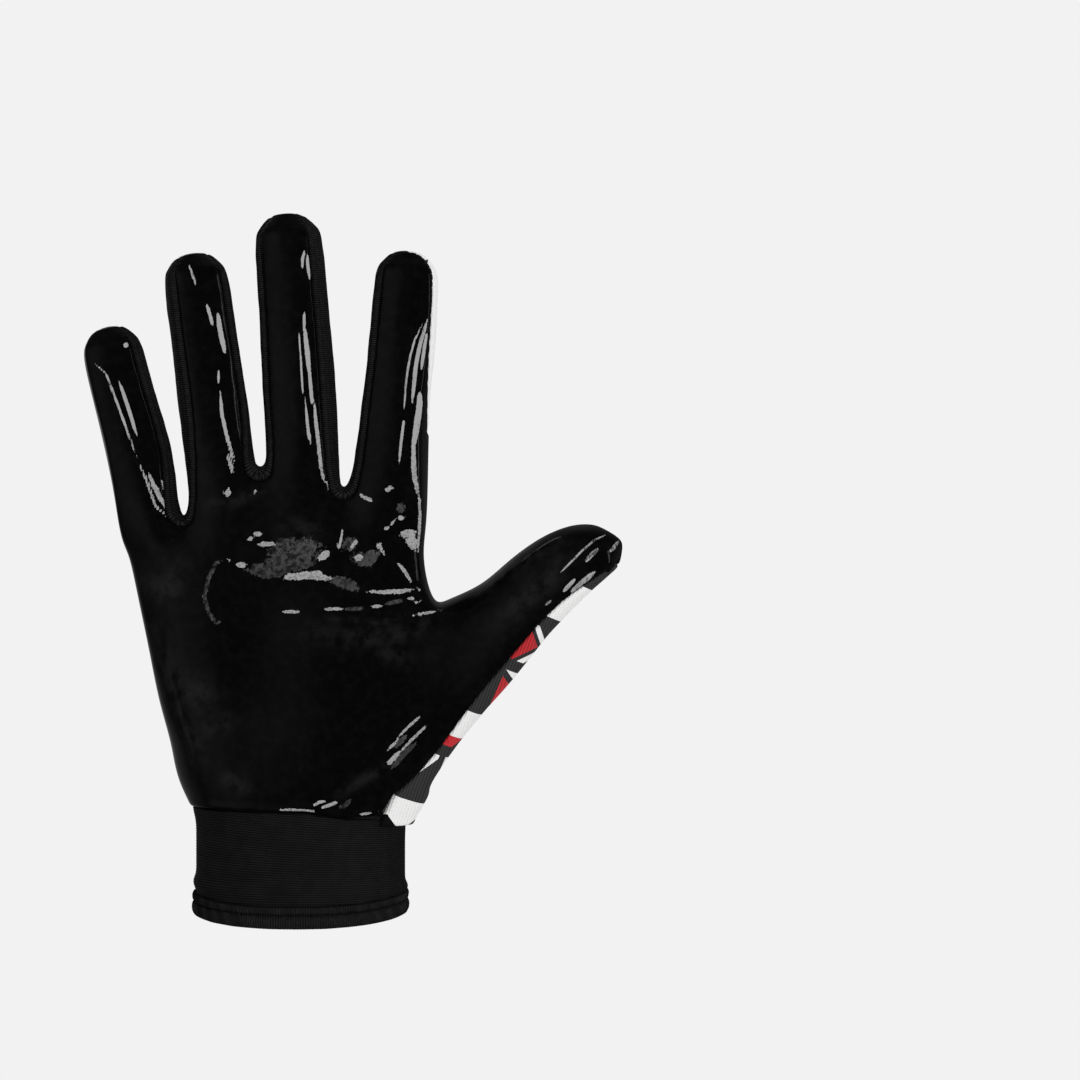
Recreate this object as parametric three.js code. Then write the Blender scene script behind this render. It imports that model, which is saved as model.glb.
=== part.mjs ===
// A football receiver's glove for the right hand, filled out as it is on a hand.
// It is a hollow shell sewn from cut panels: a glossy palm, a printed back, three gussets that run
// down one finger, round the crotch and up the next, a knitted cuff and a hem. The palm and the
// back are each one panel on the glove, and here they are parted at the foot of each digit.
// Millimetres, +Z up to the fingertips, -Y out of the palm, +X towards the thumb.
// The origin is the middle of the wrist opening, at the hem's lower edge.
import * as THREE from "three";

// Walls, and the gap that the panels keep at a seam.
const palmWall = 1.6;
const backWall = 1.2;
const gussetWall = 1.0;
const cuffWall = 1.8;
const hemWall = 3.0;
const seamGap = 0.3;

// Cuff and hem.
const hemHeight = 7.5;
const cuffHeight = 24.5;
const wristWidth = 68.4;
const wristDepth = 46;
// Angle by which the wrist seam falls towards the thumb.
const wristTilt = 5.4;

// Palm: from the wrist seam to the foot of the middle finger, and the hand's thickness.
const palmLength = 109.6;
const palmDepth = 31;

// Fingers: the middle one's size, and the others as shares of it.
const fingerLength = 82.7;
const fingerWidth = 23.5;
const fingerDepth = 19;
const crotchGap = 3.4;
const crotchSeam = 8;

// Thumb: its length from the palm's edge, its width and depth at the last joint.
const thumbLength = 83.4;
const thumbWidth = 23.4;
const thumbDepth = 20;
const thumbAngle = 36.2;

const wristZ = hemHeight + cuffHeight;

// cell is the finger's share of the knuckle line, as a share of fingerWidth. width and depth are
// shares of the middle finger's, length of fingerLength. splay leans the finger to the little
// side, roll turns its thumb-side away from the viewer, curl brings its tip forward as a share of
// its length, and bow pushes its middle to the thumb side. set is how far its foot lies forward.
const FINGER_COLUMNS = [
  "name", "cell", "width", "depth", "length", "splay", "roll", "curl", "bow", "set",
];
const FINGERS = [
  ["little", 0.87, 0.855, 0.89, 0.74, 13.4, 2, 0.1, 0, 0.0],
  ["ring", 1.068, 0.915, 0.96, 0.902, 7.0, 15, 0.08, 0, 0.02],
  ["middle", 1.162, 0.96, 0.98, 1.0, 3.5, -7, 0.07, 0.004, 0.03],
  ["index", 1.11, 0.925, 0.97, 0.941, -5.6, -2, 0.08, 0.01, 0.02],
].map((row) => Object.fromEntries(FINGER_COLUMNS.map((column, i) => [column, row[i]])));

// Where the knuckle line starts on the little side, as a share of its whole width.
const knuckleStart = -0.589;

// Height of each finger's foot, on its little side and its thumb side, as shares of palmLength.
const FOOT_RISE = [0.872, 0.915, 1.042, 0.994, 0.915];

// Section at a finger's foot. front and back are half depths as shares of the finger's depth;
// corner and outerCorner are shares of those at a crotch and at the hand's outer sides; side is
// the side points' share of a corner's depth; outerInset is a share of the cell's half width.
const FOOT = { front: 0.68, back: 0.72, corner: 0.8, outerCorner: 0.62, side: 0.42, outerInset: 0.25 };
// Crotch: how far its palm seam drops, and how far the web slopes to the back, both as shares of
// crotchSeam; middle is the web's share of that slope at its middle.
const WEB = { seamDrop: 0.45, slope: 0.9, middle: 0.4 };

// Sections along a finger. along is a share of its length, up to where the round tip starts;
// width and depth are shares of the finger's own; edge is how far the back panel's edge has come
// round on the index finger.
const FINGER_SECTIONS = [
  { along: 0.27, width: 1.045, depth: 1.03, edge: 0 },
  { along: 0.58, width: 1.0, depth: 0.98, edge: 1 },
];
// Round tip: turn is the angle round the tip, pinch how far the gusset has narrowed there.
const TIP_SECTIONS = [
  { turn: 0, pinch: 0 },
  { turn: 38, pinch: 0.4 },
  { turn: 66, pinch: 1 },
];
const tipWidth = 0.96;
const tipReach = 0.5;
const tipFlat = 0.35;

// Seams round a finger, as angles from the middle of its palm side: with a full gusset, and where
// the gusset has run out at the tip. Outer sides have no gusset: the palm panel wraps round them.
const GUSSET_ANGLES = { corner: 45, near: 75, far: 105, back: 135 };
const OUTER_ANGLES = { corner: 42, near: 68, far: 95, back: 135 };
const PINCHED_ANGLES = { corner: 62, near: 80, far: 100, back: 118 };
// On the index finger's thumb side the back panel's edge shows from the first section upwards: its
// seam leaves the silhouette there and comes round to the palm side.
const EDGE_ANGLES = { corner: 46, near: 84, far: 106, back: 138 };
const EDGE_HIGH = { corner: 40, near: 63, far: 94, back: 132 };
const EDGE_PINCHED = { corner: 48, near: 66, far: 94, back: 118 };
const EDGE_FROM_RING = 1;

// Palm sections. rise is a share of palmLength; left and right are shares of the way from the
// wrist's half width to the knuckles'; front and back are shares of palmDepth; open is the share
// of the depth that is left at the thumb side, where the section runs on into the thumb; seam is
// how far the seam to the back runs in on the palm side, in millimetres.
const PALM_ROWS = [
  { rise: 0.0, left: 0.03, right: 0.15, front: 0.72, back: 0.7, open: 0, seam: 5.6 },
  { rise: 0.08, left: 0.155, right: 1.0, front: 0.75, back: 0.69, open: 0.35, seam: 6.5 },
  { rise: 0.2, left: 0.3, right: 0.9, front: 0.73, back: 0.66, open: 0.8, seam: 4 },
  { rise: 0.34, left: 0.465, right: 0.9, front: 0.66, back: 0.6, open: 0.85, seam: 1 },
  { rise: 0.49, left: 0.61, right: 1.0, front: 0.58, back: 0.56, open: 0.78, seam: 0 },
  { rise: 0.645, left: 0.76, right: 1.3, front: 0.53, back: 0.52, open: 0.35, seam: 0 },
  { rise: 0.76, left: 0.88, right: 0.85, front: 0.5, back: 0.475, open: 0, seam: 0 },
];
const FIRST_THUMB_ROW = 1;
const LAST_THUMB_ROW = 5;
// Rise at which the palm's rows no longer follow the tilted wrist seam.
const levelRise = 0.34;

// Rises and hollows of the palm and the back of the hand. x is a share of the knuckle width from
// its middle, z a share of palmLength, across and up are the spreads in the same shares, and
// rise is a share of palmDepth.
const RELIEF = [
  { side: "palm", x: 0.2, z: 0.3, across: 0.2, up: 0.22, rise: 0.18 },
  { side: "palm", x: -0.28, z: 0.25, across: 0.16, up: 0.26, rise: 0.1 },
  { side: "palm", x: -0.02, z: 0.55, across: 0.16, up: 0.18, rise: -0.1 },
  { side: "palm", x: 0.0, z: 0.86, across: 0.5, up: 0.08, rise: 0.05 },
  { side: "back", x: 0.25, z: 0.84, across: 0.09, up: 0.1, rise: 0.045 },
  { side: "back", x: 0.0, z: 0.88, across: 0.09, up: 0.1, rise: 0.045 },
  { side: "back", x: -0.25, z: 0.82, across: 0.09, up: 0.1, rise: 0.04 },
];

// Thumb sections: along its axis and off it as shares of thumbLength; width and depth are shares
// of the thumb's; lean turns the section from upright, in degrees; forward brings it towards the
// palm side, as a share of thumbLength.
const THUMB_SECTIONS = [
  { along: 0.115, off: -0.028, width: 2.5, depth: 1.62, lean: 5, forward: 0.02, pinch: 0 },
  { along: 0.3, off: 0.0, width: 1.95, depth: 1.42, lean: 3, forward: 0.05, pinch: 0 },
  { along: 0.48, off: 0.03, width: 1.62, depth: 1.25, lean: -3, forward: 0.08, pinch: 0 },
  { along: 0.66, off: 0.06, width: 1.3, depth: 1.1, lean: -8, forward: 0.11, pinch: 0.1 },
  { along: 0.82, off: 0.065, width: 1.0, depth: 0.95, lean: -14, forward: 0.13, pinch: 0.45 },
  { along: 0.925, off: 0.045, width: 0.73, depth: 0.7, lean: -17, forward: 0.135, pinch: 0.95 },
];
const thumbTip = { along: 0.99, off: 0.006, lean: -4, forward: 0.135 };
// Where the thumb's axis starts: from the wrist's edge, as a share of wristWidth, and up the palm,
// as a share of palmLength.
const thumbRoot = { out: 0.041, rise: 0.338 };
// Spread of the points that close the thumb's tip, as shares of its width and depth, and how far
// the outer ones stand back, as a share of thumbLength.
const tipSpread = { across: 0.2, deep: 0.1, back: 0.016 };
const thumbRoll = 14;
const THUMB_ANGLES = { corner: 45, near: 75, far: 105, back: 135 };
const THUMB_PINCHED = { corner: 74, near: 84, far: 96, back: 106 };

// Wrist sections of the cuff and of the hem. up is a share of the part's height, out is how far
// the outside stands proud of the wrist's outline, in shares of the wall.
const CUFF_PROFILE = [
  { up: 1, out: -0.35 },
  { up: 0.66, out: -0.1 },
  { up: 0.3, out: -0.1 },
  { up: 0, out: 0.05 },
];
const HEM_PROFILE = [
  { up: 1, out: 0.05 },
  { up: 0.85, out: 0.28 },
  { up: 0.66, out: 0.24 },
  { up: 0.54, out: 0.08 },
  { up: 0.42, out: 0.26 },
  { up: 0.2, out: 0.12 },
  { up: 0, out: -0.4 },
];
const wristSides = 40;
const hemDroop = 1.8;

const roundness = 2.3;
const palmRoundness = 2.6;
const FIT_PASSES = 8;

const rad = THREE.MathUtils.degToRad;
const wristFall = Math.tan(rad(wristTilt));
const mix = (a, b, t) => a + (b - a) * t;

// Point of a rounded section at an angle from its palm side, in units of its half sizes.
function roundPoint(angle, power) {
  const s = Math.sin(rad(angle));
  const c = Math.cos(rad(angle));
  const bend = 2 / power;
  return [Math.sign(s) * Math.abs(s) ** bend, -Math.sign(c) * Math.abs(c) ** bend];
}

// The cage: coarse quads of the whole outer surface, each marked with the panel it belongs to.
const cage = { points: [], quads: [] };

function addPoint(x, y, z) {
  cage.points.push(new THREE.Vector3(x, y, z));
  return cage.points.length - 1;
}

// A quad of the hand, of a finger or of the thumb. A gusset's name already says where it is.
const GUSSETS = FINGERS.slice(1).map((f, i) => "gusset_" + FINGERS[i].name + "_" + f.name);
function addQuad(zone, kind, ...at) {
  const panel = GUSSETS.includes(kind) ? kind : kind + "_" + zone;
  cage.quads.push({ panel, at });
}

// Knuckle line: the left edge of each finger's cell and the right edge of the last.
const knuckleWidth = FINGERS.reduce((sum, f) => sum + f.cell * fingerWidth, 0);
const cellEdges = [knuckleStart * knuckleWidth];
for (const f of FINGERS) cellEdges.push(cellEdges.at(-1) + f.cell * fingerWidth);
const knuckleMiddle = (cellEdges[0] + cellEdges.at(-1)) / 2;

// How far the hand's surface rises from its plain form at a point.
function relief(side, x, z) {
  let sum = 0;
  for (const r of RELIEF) {
    if (r.side !== side) continue;
    const dx = (x - knuckleMiddle - r.x * knuckleWidth) / (r.across * knuckleWidth);
    const dz = (z - wristZ - r.z * palmLength) / (r.up * palmLength);
    sum += r.rise * palmDepth * Math.exp(-dx * dx - dz * dz);
  }
  return sum;
}

// Angles of a section's ten points, from its left palm corner round by the thumb side.
function ringAngles(left, right) {
  return [
    -left.corner, 0, right.corner, right.near, right.far, right.back,
    180, -left.back, -left.far, -left.near,
  ];
}

function pinched(angles, narrow, pinch) {
  const result = {};
  for (const key of Object.keys(angles)) result[key] = mix(angles[key], narrow[key], pinch);
  return result;
}

// A finger's centre line and its frame at a share of its length.
function fingerFrame(index, along) {
  const f = FINGERS[index];
  const length = f.length * fingerLength;
  const lean = rad(f.splay);
  const axis = new THREE.Vector3(-Math.sin(lean), 0, Math.cos(lean));
  const side = new THREE.Vector3(Math.cos(lean), 0, Math.sin(lean));
  const foot = new THREE.Vector3(
    (cellEdges[index] + cellEdges[index + 1]) / 2,
    -f.set * palmDepth,
    wristZ + palmLength * (FOOT_RISE[index] + FOOT_RISE[index + 1]) / 2,
  );
  const centre = foot.clone().addScaledVector(axis, along * length);
  centre.addScaledVector(side, 4 * f.bow * length * along * (1 - along));
  centre.y -= f.curl * length * along * along;
  const heading = axis.clone();
  heading.y -= 2 * f.curl * along;
  heading.normalize();
  const back = new THREE.Vector3().crossVectors(heading, side).normalize();
  const turn = rad(f.roll) * Math.min(1, along / 0.25);
  const u = side.clone().multiplyScalar(Math.cos(turn)).addScaledVector(back, Math.sin(turn));
  const v = back.clone().multiplyScalar(Math.cos(turn)).addScaledVector(side, -Math.sin(turn));
  return { centre, heading, u, v, length };
}

function sectionRing(frame, halfWidth, halfDepth, angles, power) {
  return angles.map((angle) => {
    const [a, b] = roundPoint(angle, power);
    const p = frame.centre.clone();
    p.addScaledVector(frame.u, a * halfWidth).addScaledVector(frame.v, b * halfDepth);
    return addPoint(p.x, p.y, p.z);
  });
}

// The foot of each finger is part of the knuckle row. Its sides are the crotches.
function fingerFoot(index) {
  const f = FINGERS[index];
  const edges = [cellEdges[index], cellEdges[index + 1]];
  const heights = [FOOT_RISE[index], FOOT_RISE[index + 1]].map((r) => wristZ + r * palmLength);
  const outer = [index === 0, index === FINGERS.length - 1];
  const middle = (edges[0] + edges[1]) / 2;
  const half = (edges[1] - edges[0]) / 2;
  const front = FOOT.front * f.depth * fingerDepth;
  const back = FOOT.back * f.depth * fingerDepth;
  const seamDrop = WEB.seamDrop * crotchSeam;
  const slope = WEB.slope * crotchSeam;
  const middleZ = (heights[0] + heights[1]) / 2;
  const place = (x, y, z) => addPoint(x, y - f.set * palmDepth, z);
  const corner = (k, depth, drop) => {
    const inset = outer[k] ? FOOT.outerInset * half : crotchSeam / 2;
    const share = outer[k] ? FOOT.outerCorner : FOOT.corner;
    return place(edges[k] + (k ? -inset : inset), share * depth, heights[k] - drop);
  };
  const side = (k, depth, drop) => {
    const inset = outer[k] ? 0 : crotchGap / 2;
    return place(edges[k] + (k ? -inset : inset), FOOT.side * FOOT.outerCorner * depth, heights[k] - drop);
  };
  return [
    corner(0, -front, seamDrop),
    place(middle, -front, middleZ - seamDrop),
    corner(1, -front, seamDrop),
    side(1, -front, outer[1] ? seamDrop : 0),
    side(1, back, WEB.middle * slope),
    corner(1, back, slope),
    place(middle, back, middleZ - slope),
    corner(0, back, slope),
    side(0, back, WEB.middle * slope),
    side(0, -front, outer[0] ? seamDrop : 0),
  ];
}

function fingerRings(index) {
  const f = FINGERS[index];
  const left = index === 0 ? OUTER_ANGLES : GUSSET_ANGLES;
  const outside = index === FINGERS.length - 1;
  const halfWidth = (f.width * fingerWidth) / 2;
  const halfDepth = (f.depth * fingerDepth) / 2;
  const rings = [fingerFoot(index)];
  for (const s of FINGER_SECTIONS) {
    const frame = fingerFrame(index, s.along);
    const right = outside ? pinched(EDGE_ANGLES, EDGE_HIGH, s.edge) : GUSSET_ANGLES;
    const angles = ringAngles(left, right);
    rings.push(sectionRing(frame, s.width * halfWidth, s.depth * halfDepth, angles, roundness));
  }
  const reach = 2 * tipReach * halfWidth;
  const length = f.length * fingerLength;
  for (const s of TIP_SECTIONS) {
    const frame = fingerFrame(index, 1 - (reach * (1 - Math.sin(rad(s.turn)))) / length);
    const shrink = tipWidth * Math.cos(rad(s.turn)) ** 0.85;
    const edge = outside ? [EDGE_HIGH, EDGE_PINCHED] : [GUSSET_ANGLES, PINCHED_ANGLES];
    const angles = ringAngles(pinched(left, PINCHED_ANGLES, s.pinch), pinched(...edge, s.pinch));
    rings.push(sectionRing(frame, shrink * halfWidth, shrink * halfDepth, angles, roundness));
  }
  return rings;
}

// Which panel each of a finger's ten strips belongs to, above one of its rings.
function fingerPanels(index, ring) {
  const outside = index === FINGERS.length - 1;
  const side = ring < EDGE_FROM_RING ? "palm" : "back";
  const right = outside ? ["palm", side, "back"] : Array(3).fill(GUSSETS[index]);
  const left = index === 0 ? ["back", "palm", "palm"] : Array(3).fill(GUSSETS[index - 1]);
  return ["palm", "palm", ...right, "back", "back", ...left];
}

function closeFinger(index, ring) {
  const frame = fingerFrame(index, 1);
  const f = FINGERS[index];
  const reach = (tipFlat * f.depth * fingerDepth) / 2;
  const inner = [-reach, reach].map((v) => {
    const p = frame.centre.clone().addScaledVector(frame.v, 0.75 * v);
    return addPoint(p.x, p.y, p.z);
  });
  const rows = [
    [ring[0], ring[1], ring[2]],
    [ring[9], inner[0], ring[3]],
    [ring[8], inner[1], ring[4]],
    [ring[7], ring[6], ring[5]],
  ];
  const outside = index === FINGERS.length - 1;
  for (let r = 0; r < 3; r++) {
    for (let c = 0; c < 2; c++) {
      const kind = r === 2 || (outside && r === 1 && c === 1) ? "back" : "palm";
      addQuad(f.name, kind, rows[r][c], rows[r][c + 1], rows[r + 1][c + 1], rows[r + 1][c]);
    }
  }
}

// Palm: rows of points round the hand, the last being the feet of the fingers.
function palmRow(row, columns) {
  const z = wristZ + row.rise * palmLength;
  const fall = wristFall * Math.max(0, 1 - row.rise / levelRise);
  const left = mix(-wristWidth / 2, cellEdges[0], row.left);
  const right = mix(wristWidth / 2, cellEdges.at(-1), row.right);
  const middle = (left + right) / 2;
  const half = (right - left) / 2;
  const keep = (u) => {
    const closed = Math.max(0, 1 - Math.abs(u) ** palmRoundness) ** (1 / palmRoundness);
    if (u < 0 || row.open === 0) return closed;
    return Math.max(closed, 1 - (1 - row.open) * u ** 3);
  };
  const surface = (share, side) => {
    const x = mix(left, right, share);
    const depth = side === "palm" ? row.front : row.back;
    const fade = Math.min(1, 4 * share);
    const out = depth * palmDepth * keep((x - middle) / half) + fade * relief(side, x, z);
    return addPoint(x, side === "palm" ? -out : out, z - fall * x);
  };
  const toSeam = (i) => (Math.max(0, i - columns.length + 3) / 2) * (row.seam / (right - left));
  const palm = columns.map((share, i) => surface(share - toSeam(i), "palm"));
  const back = [...columns].reverse().map((share) => surface(share, "back"));
  const sidePoint = (x, corner) => addPoint(x, FOOT.side * cage.points[corner].y, z - fall * x);
  const rightSide = [sidePoint(right, palm.at(-1)), sidePoint(right, back[0])];
  const leftSide = [sidePoint(left, back.at(-1)), sidePoint(left, palm[0])];
  return [...palm, ...rightSide, ...back, ...leftSide];
}

// Thumb: twelve-sided sections from the palm's open side to the tip.
function thumbFrame(section) {
  const angle = rad(thumbAngle);
  const axis = new THREE.Vector3(Math.cos(angle), 0, Math.sin(angle));
  const across = new THREE.Vector3(-Math.sin(angle), 0, Math.cos(angle));
  const rootX = (0.5 + thumbRoot.out) * wristWidth;
  const centre = new THREE.Vector3(rootX, 0, wristZ + thumbRoot.rise * palmLength);
  centre.addScaledVector(axis, section.along * thumbLength);
  centre.addScaledVector(across, section.off * thumbLength);
  centre.y -= section.forward * thumbLength;
  const lean = rad(section.lean ?? 0);
  const up = new THREE.Vector3(Math.sin(lean), 0, Math.cos(lean));
  const back = new THREE.Vector3(0, 1, 0);
  const turn = rad(thumbRoll) * Math.min(1, section.along / 0.5);
  const u = up.clone().multiplyScalar(Math.cos(turn)).addScaledVector(back, Math.sin(turn));
  const v = back.clone().multiplyScalar(Math.cos(turn)).addScaledVector(up, -Math.sin(turn));
  return { centre, axis, u, v };
}

function thumbAngles(pinch) {
  const a = pinched(THUMB_ANGLES, THUMB_PINCHED, pinch);
  const half = a.corner / 2;
  const backHalf = (180 + a.back) / 2;
  return [
    -a.corner, -half, 0, half, a.corner, a.near, a.far,
    a.back, backHalf, 180, -backHalf, -a.back, -a.far, -a.near,
  ];
}

function addThumb(base) {
  const rings = [base];
  for (const s of THUMB_SECTIONS) {
    const [halfWidth, halfDepth] = [(s.width * thumbWidth) / 2, (s.depth * thumbDepth) / 2];
    rings.push(sectionRing(thumbFrame(s), halfWidth, halfDepth, thumbAngles(s.pinch), roundness));
  }
  const count = base.length;
  for (let r = 0; r + 1 < rings.length; r++) {
    for (let i = 0; i < count; i++) {
      const n = (i + 1) % count;
      const kind = i < 6 ? "palm" : "back";
      addQuad("thumb", kind, rings[r][i], rings[r + 1][i], rings[r + 1][n], rings[r][n]);
    }
  }
  const ring = rings.at(-1);
  const tip = thumbFrame({ ...THUMB_SECTIONS.at(-1), ...thumbTip });
  const inner = [-1, 1].map((v) =>
    [-1, 0, 1].map((u) => {
      const p = tip.centre.clone().addScaledVector(tip.axis, -tipSpread.back * u * u * thumbLength);
      p.addScaledVector(tip.u, tipSpread.across * u * thumbWidth);
      p.addScaledVector(tip.v, tipSpread.deep * v * thumbDepth);
      return addPoint(p.x, p.y, p.z);
    }),
  );
  const rows = [
    ring.slice(0, 5),
    [ring[13], ...inner[0], ring[5]],
    [ring[12], ...inner[1], ring[6]],
    [ring[11], ring[10], ring[9], ring[8], ring[7]],
  ];
  for (let r = 0; r < 3; r++) {
    for (let c = 0; c < 4; c++) {
      const kind = r === 2 || (r === 1 && c === 0) ? "back" : "palm";
      addQuad("thumb", kind, rows[r][c], rows[r + 1][c], rows[r + 1][c + 1], rows[r][c + 1]);
    }
  }
}

function buildCage() {
  const fingers = FINGERS.map((_, index) => fingerRings(index));
  fingers.forEach((rings, index) => {
    for (let r = 0; r + 1 < rings.length; r++) {
      const panels = fingerPanels(index, r);
      for (let i = 0; i < 10; i++) {
        const n = (i + 1) % 10;
        const corners = [rings[r][i], rings[r][n], rings[r + 1][n], rings[r + 1][i]];
        addQuad(FINGERS[index].name, panels[i], ...corners);
      }
    }
    closeFinger(index, rings.at(-1));
  });
  const feet = fingers.map((rings) => rings[0]);
  for (let k = 0; k + 1 < feet.length; k++) {
    const [a, b] = [feet[k], feet[k + 1]];
    const near = [a[2], a[3], a[4], a[5]];
    const far = [b[0], b[9], b[8], b[7]];
    for (let i = 0; i < 3; i++) addQuad("", GUSSETS[k], near[i], far[i], far[i + 1], near[i + 1]);
  }
  const last = feet.at(-1);
  const knuckles = [
    ...feet.flatMap((ring) => ring.slice(0, 3)),
    last[3], last[4],
    ...[...feet].reverse().flatMap((ring) => ring.slice(5, 8)),
    feet[0][8], feet[0][9],
  ];
  const columns = knuckles.slice(0, 12).map((i) => (cage.points[i].x - cellEdges[0]) / knuckleWidth);
  const rows = PALM_ROWS.map((row) => palmRow(row, columns));
  rows.push(knuckles);
  const count = knuckles.length;
  for (let r = 0; r + 1 < rows.length; r++) {
    const inThumb = r >= FIRST_THUMB_ROW && r < LAST_THUMB_ROW;
    const low = r < FIRST_THUMB_ROW;
    for (let i = 0; i < count; i++) {
      const rightSide = i >= 11 && i <= 13;
      if (inThumb && rightSide) continue;
      const onPalm = (i < 13 || i > 25) && !(low && rightSide);
      const n = (i + 1) % count;
      const corners = [rows[r][i], rows[r][n], rows[r + 1][n], rows[r + 1][i]];
      addQuad("hand", onPalm ? "palm" : "back", ...corners);
    }
  }
  const thumbRows = rows.slice(FIRST_THUMB_ROW, LAST_THUMB_ROW + 1);
  const top = thumbRows.at(-1);
  const bottom = thumbRows[0];
  addThumb([
    ...thumbRows.map((row) => row[11]), top[12], top[13],
    ...[...thumbRows].reverse().map((row) => row[14]), bottom[13], bottom[12],
  ]);
}

// Neighbours of each point of a quad mesh, and whether it lies on the open edge at the wrist.
function neighbours(mesh) {
  const around = mesh.points.map(() => ({ edges: new Set(), corners: [], open: [] }));
  const uses = new Map();
  for (const { at } of mesh.quads) {
    for (let i = 0; i < 4; i++) {
      const [a, b] = [at[i], at[(i + 1) % 4]];
      around[a].edges.add(b);
      around[b].edges.add(a);
      around[a].corners.push(at[(i + 2) % 4]);
      const key = Math.min(a, b) + "," + Math.max(a, b);
      uses.set(key, (uses.get(key) ?? 0) + 1);
    }
  }
  for (const [key, n] of uses) {
    if (n > 1) continue;
    const [a, b] = key.split(",").map(Number);
    around[a].open.push(b);
    around[b].open.push(a);
  }
  return around;
}

// Where the smooth (Catmull-Clark) surface of a quad mesh passes each of its points.
function limitPoints(mesh, around = neighbours(mesh)) {
  const sum = (list) => {
    const s = new THREE.Vector3();
    for (const i of list) s.add(mesh.points[i]);
    return s;
  };
  return mesh.points.map((p, i) => {
    const { edges, corners, open } = around[i];
    if (open.length) return p.clone().multiplyScalar(4).add(sum(open)).divideScalar(6);
    const n = edges.size;
    const total = p.clone().multiplyScalar(n * n).addScaledVector(sum(edges), 4).add(sum(corners));
    return total.divideScalar(n * (n + 5));
  });
}

// Moves the cage until its smooth surface passes through the points that the tables give.
function fitCage(mesh) {
  const target = mesh.points.map((p) => p.clone());
  const around = neighbours(mesh);
  for (let pass = 0; pass < FIT_PASSES; pass++) {
    const limit = limitPoints(mesh, around);
    mesh.points.forEach((p, i) => p.add(target[i].clone().sub(limit[i]).multiplyScalar(0.9)));
  }
}

// One step of Catmull-Clark subdivision.
function subdivide(mesh) {
  const around = neighbours(mesh);
  const points = [];
  const average = (list) => {
    const sum = list.reduce((s, p) => s.add(p), new THREE.Vector3());
    return sum.divideScalar(list.length);
  };
  const facePoints = mesh.quads.map(({ at }) => average(at.map((i) => mesh.points[i])));
  const edgeFaces = new Map();
  mesh.quads.forEach(({ at }, f) => {
    for (let i = 0; i < 4; i++) {
      const [a, b] = [at[i], at[(i + 1) % 4]];
      const key = Math.min(a, b) + "," + Math.max(a, b);
      if (!edgeFaces.has(key)) edgeFaces.set(key, []);
      edgeFaces.get(key).push(f);
    }
  });
  const facesAt = mesh.points.map(() => []);
  mesh.quads.forEach(({ at }, f) => at.forEach((i) => facesAt[i].push(f)));
  mesh.points.forEach((p, i) => {
    const { edges, open } = around[i];
    if (open.length) {
      const ends = open.map((e) => mesh.points[e]);
      points.push(p.clone().multiplyScalar(6).add(ends[0]).add(ends[1]).divideScalar(8));
      return;
    }
    const n = edges.size;
    const faces = average(facesAt[i].map((f) => facePoints[f]));
    const middles = average([...edges].map((e) => mesh.points[e].clone().add(p).divideScalar(2)));
    points.push(faces.addScaledVector(middles, 2).addScaledVector(p, n - 3).divideScalar(n));
  });
  const edgeAt = new Map();
  for (const [key, faces] of edgeFaces) {
    const [a, b] = key.split(",").map(Number);
    const ends = [mesh.points[a], mesh.points[b]];
    edgeAt.set(key, points.length);
    points.push(average(faces.length === 2 ? [...ends, ...faces.map((f) => facePoints[f])] : ends));
  }
  const quads = [];
  mesh.quads.forEach(({ panel, at }, f) => {
    const centre = points.length;
    points.push(facePoints[f]);
    const middle = at.map((a, i) => {
      const b = at[(i + 1) % 4];
      return edgeAt.get(Math.min(a, b) + "," + Math.max(a, b));
    });
    for (let i = 0; i < 4; i++) {
      quads.push({ panel, at: [at[i], middle[i], centre, middle[(i + 3) % 4]] });
    }
  });
  return { points, quads };
}

// Normals out of the surface. Along the open edge they lie in the wrist seam's tilted plane, so
// that the rims there are flat.
function pointNormals(mesh) {
  const around = neighbours(mesh);
  const normals = mesh.points.map(() => new THREE.Vector3());
  for (const { at } of mesh.quads) {
    const [a, b, c, d] = at.map((i) => mesh.points[i]);
    const n = new THREE.Vector3().crossVectors(c.clone().sub(a), d.clone().sub(b));
    for (const i of at) normals[i].add(n);
  }
  return normals.map((n, i) => {
    if (around[i].open.length) n.z = -wristFall * n.x;
    return n.normalize();
  });
}

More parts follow.
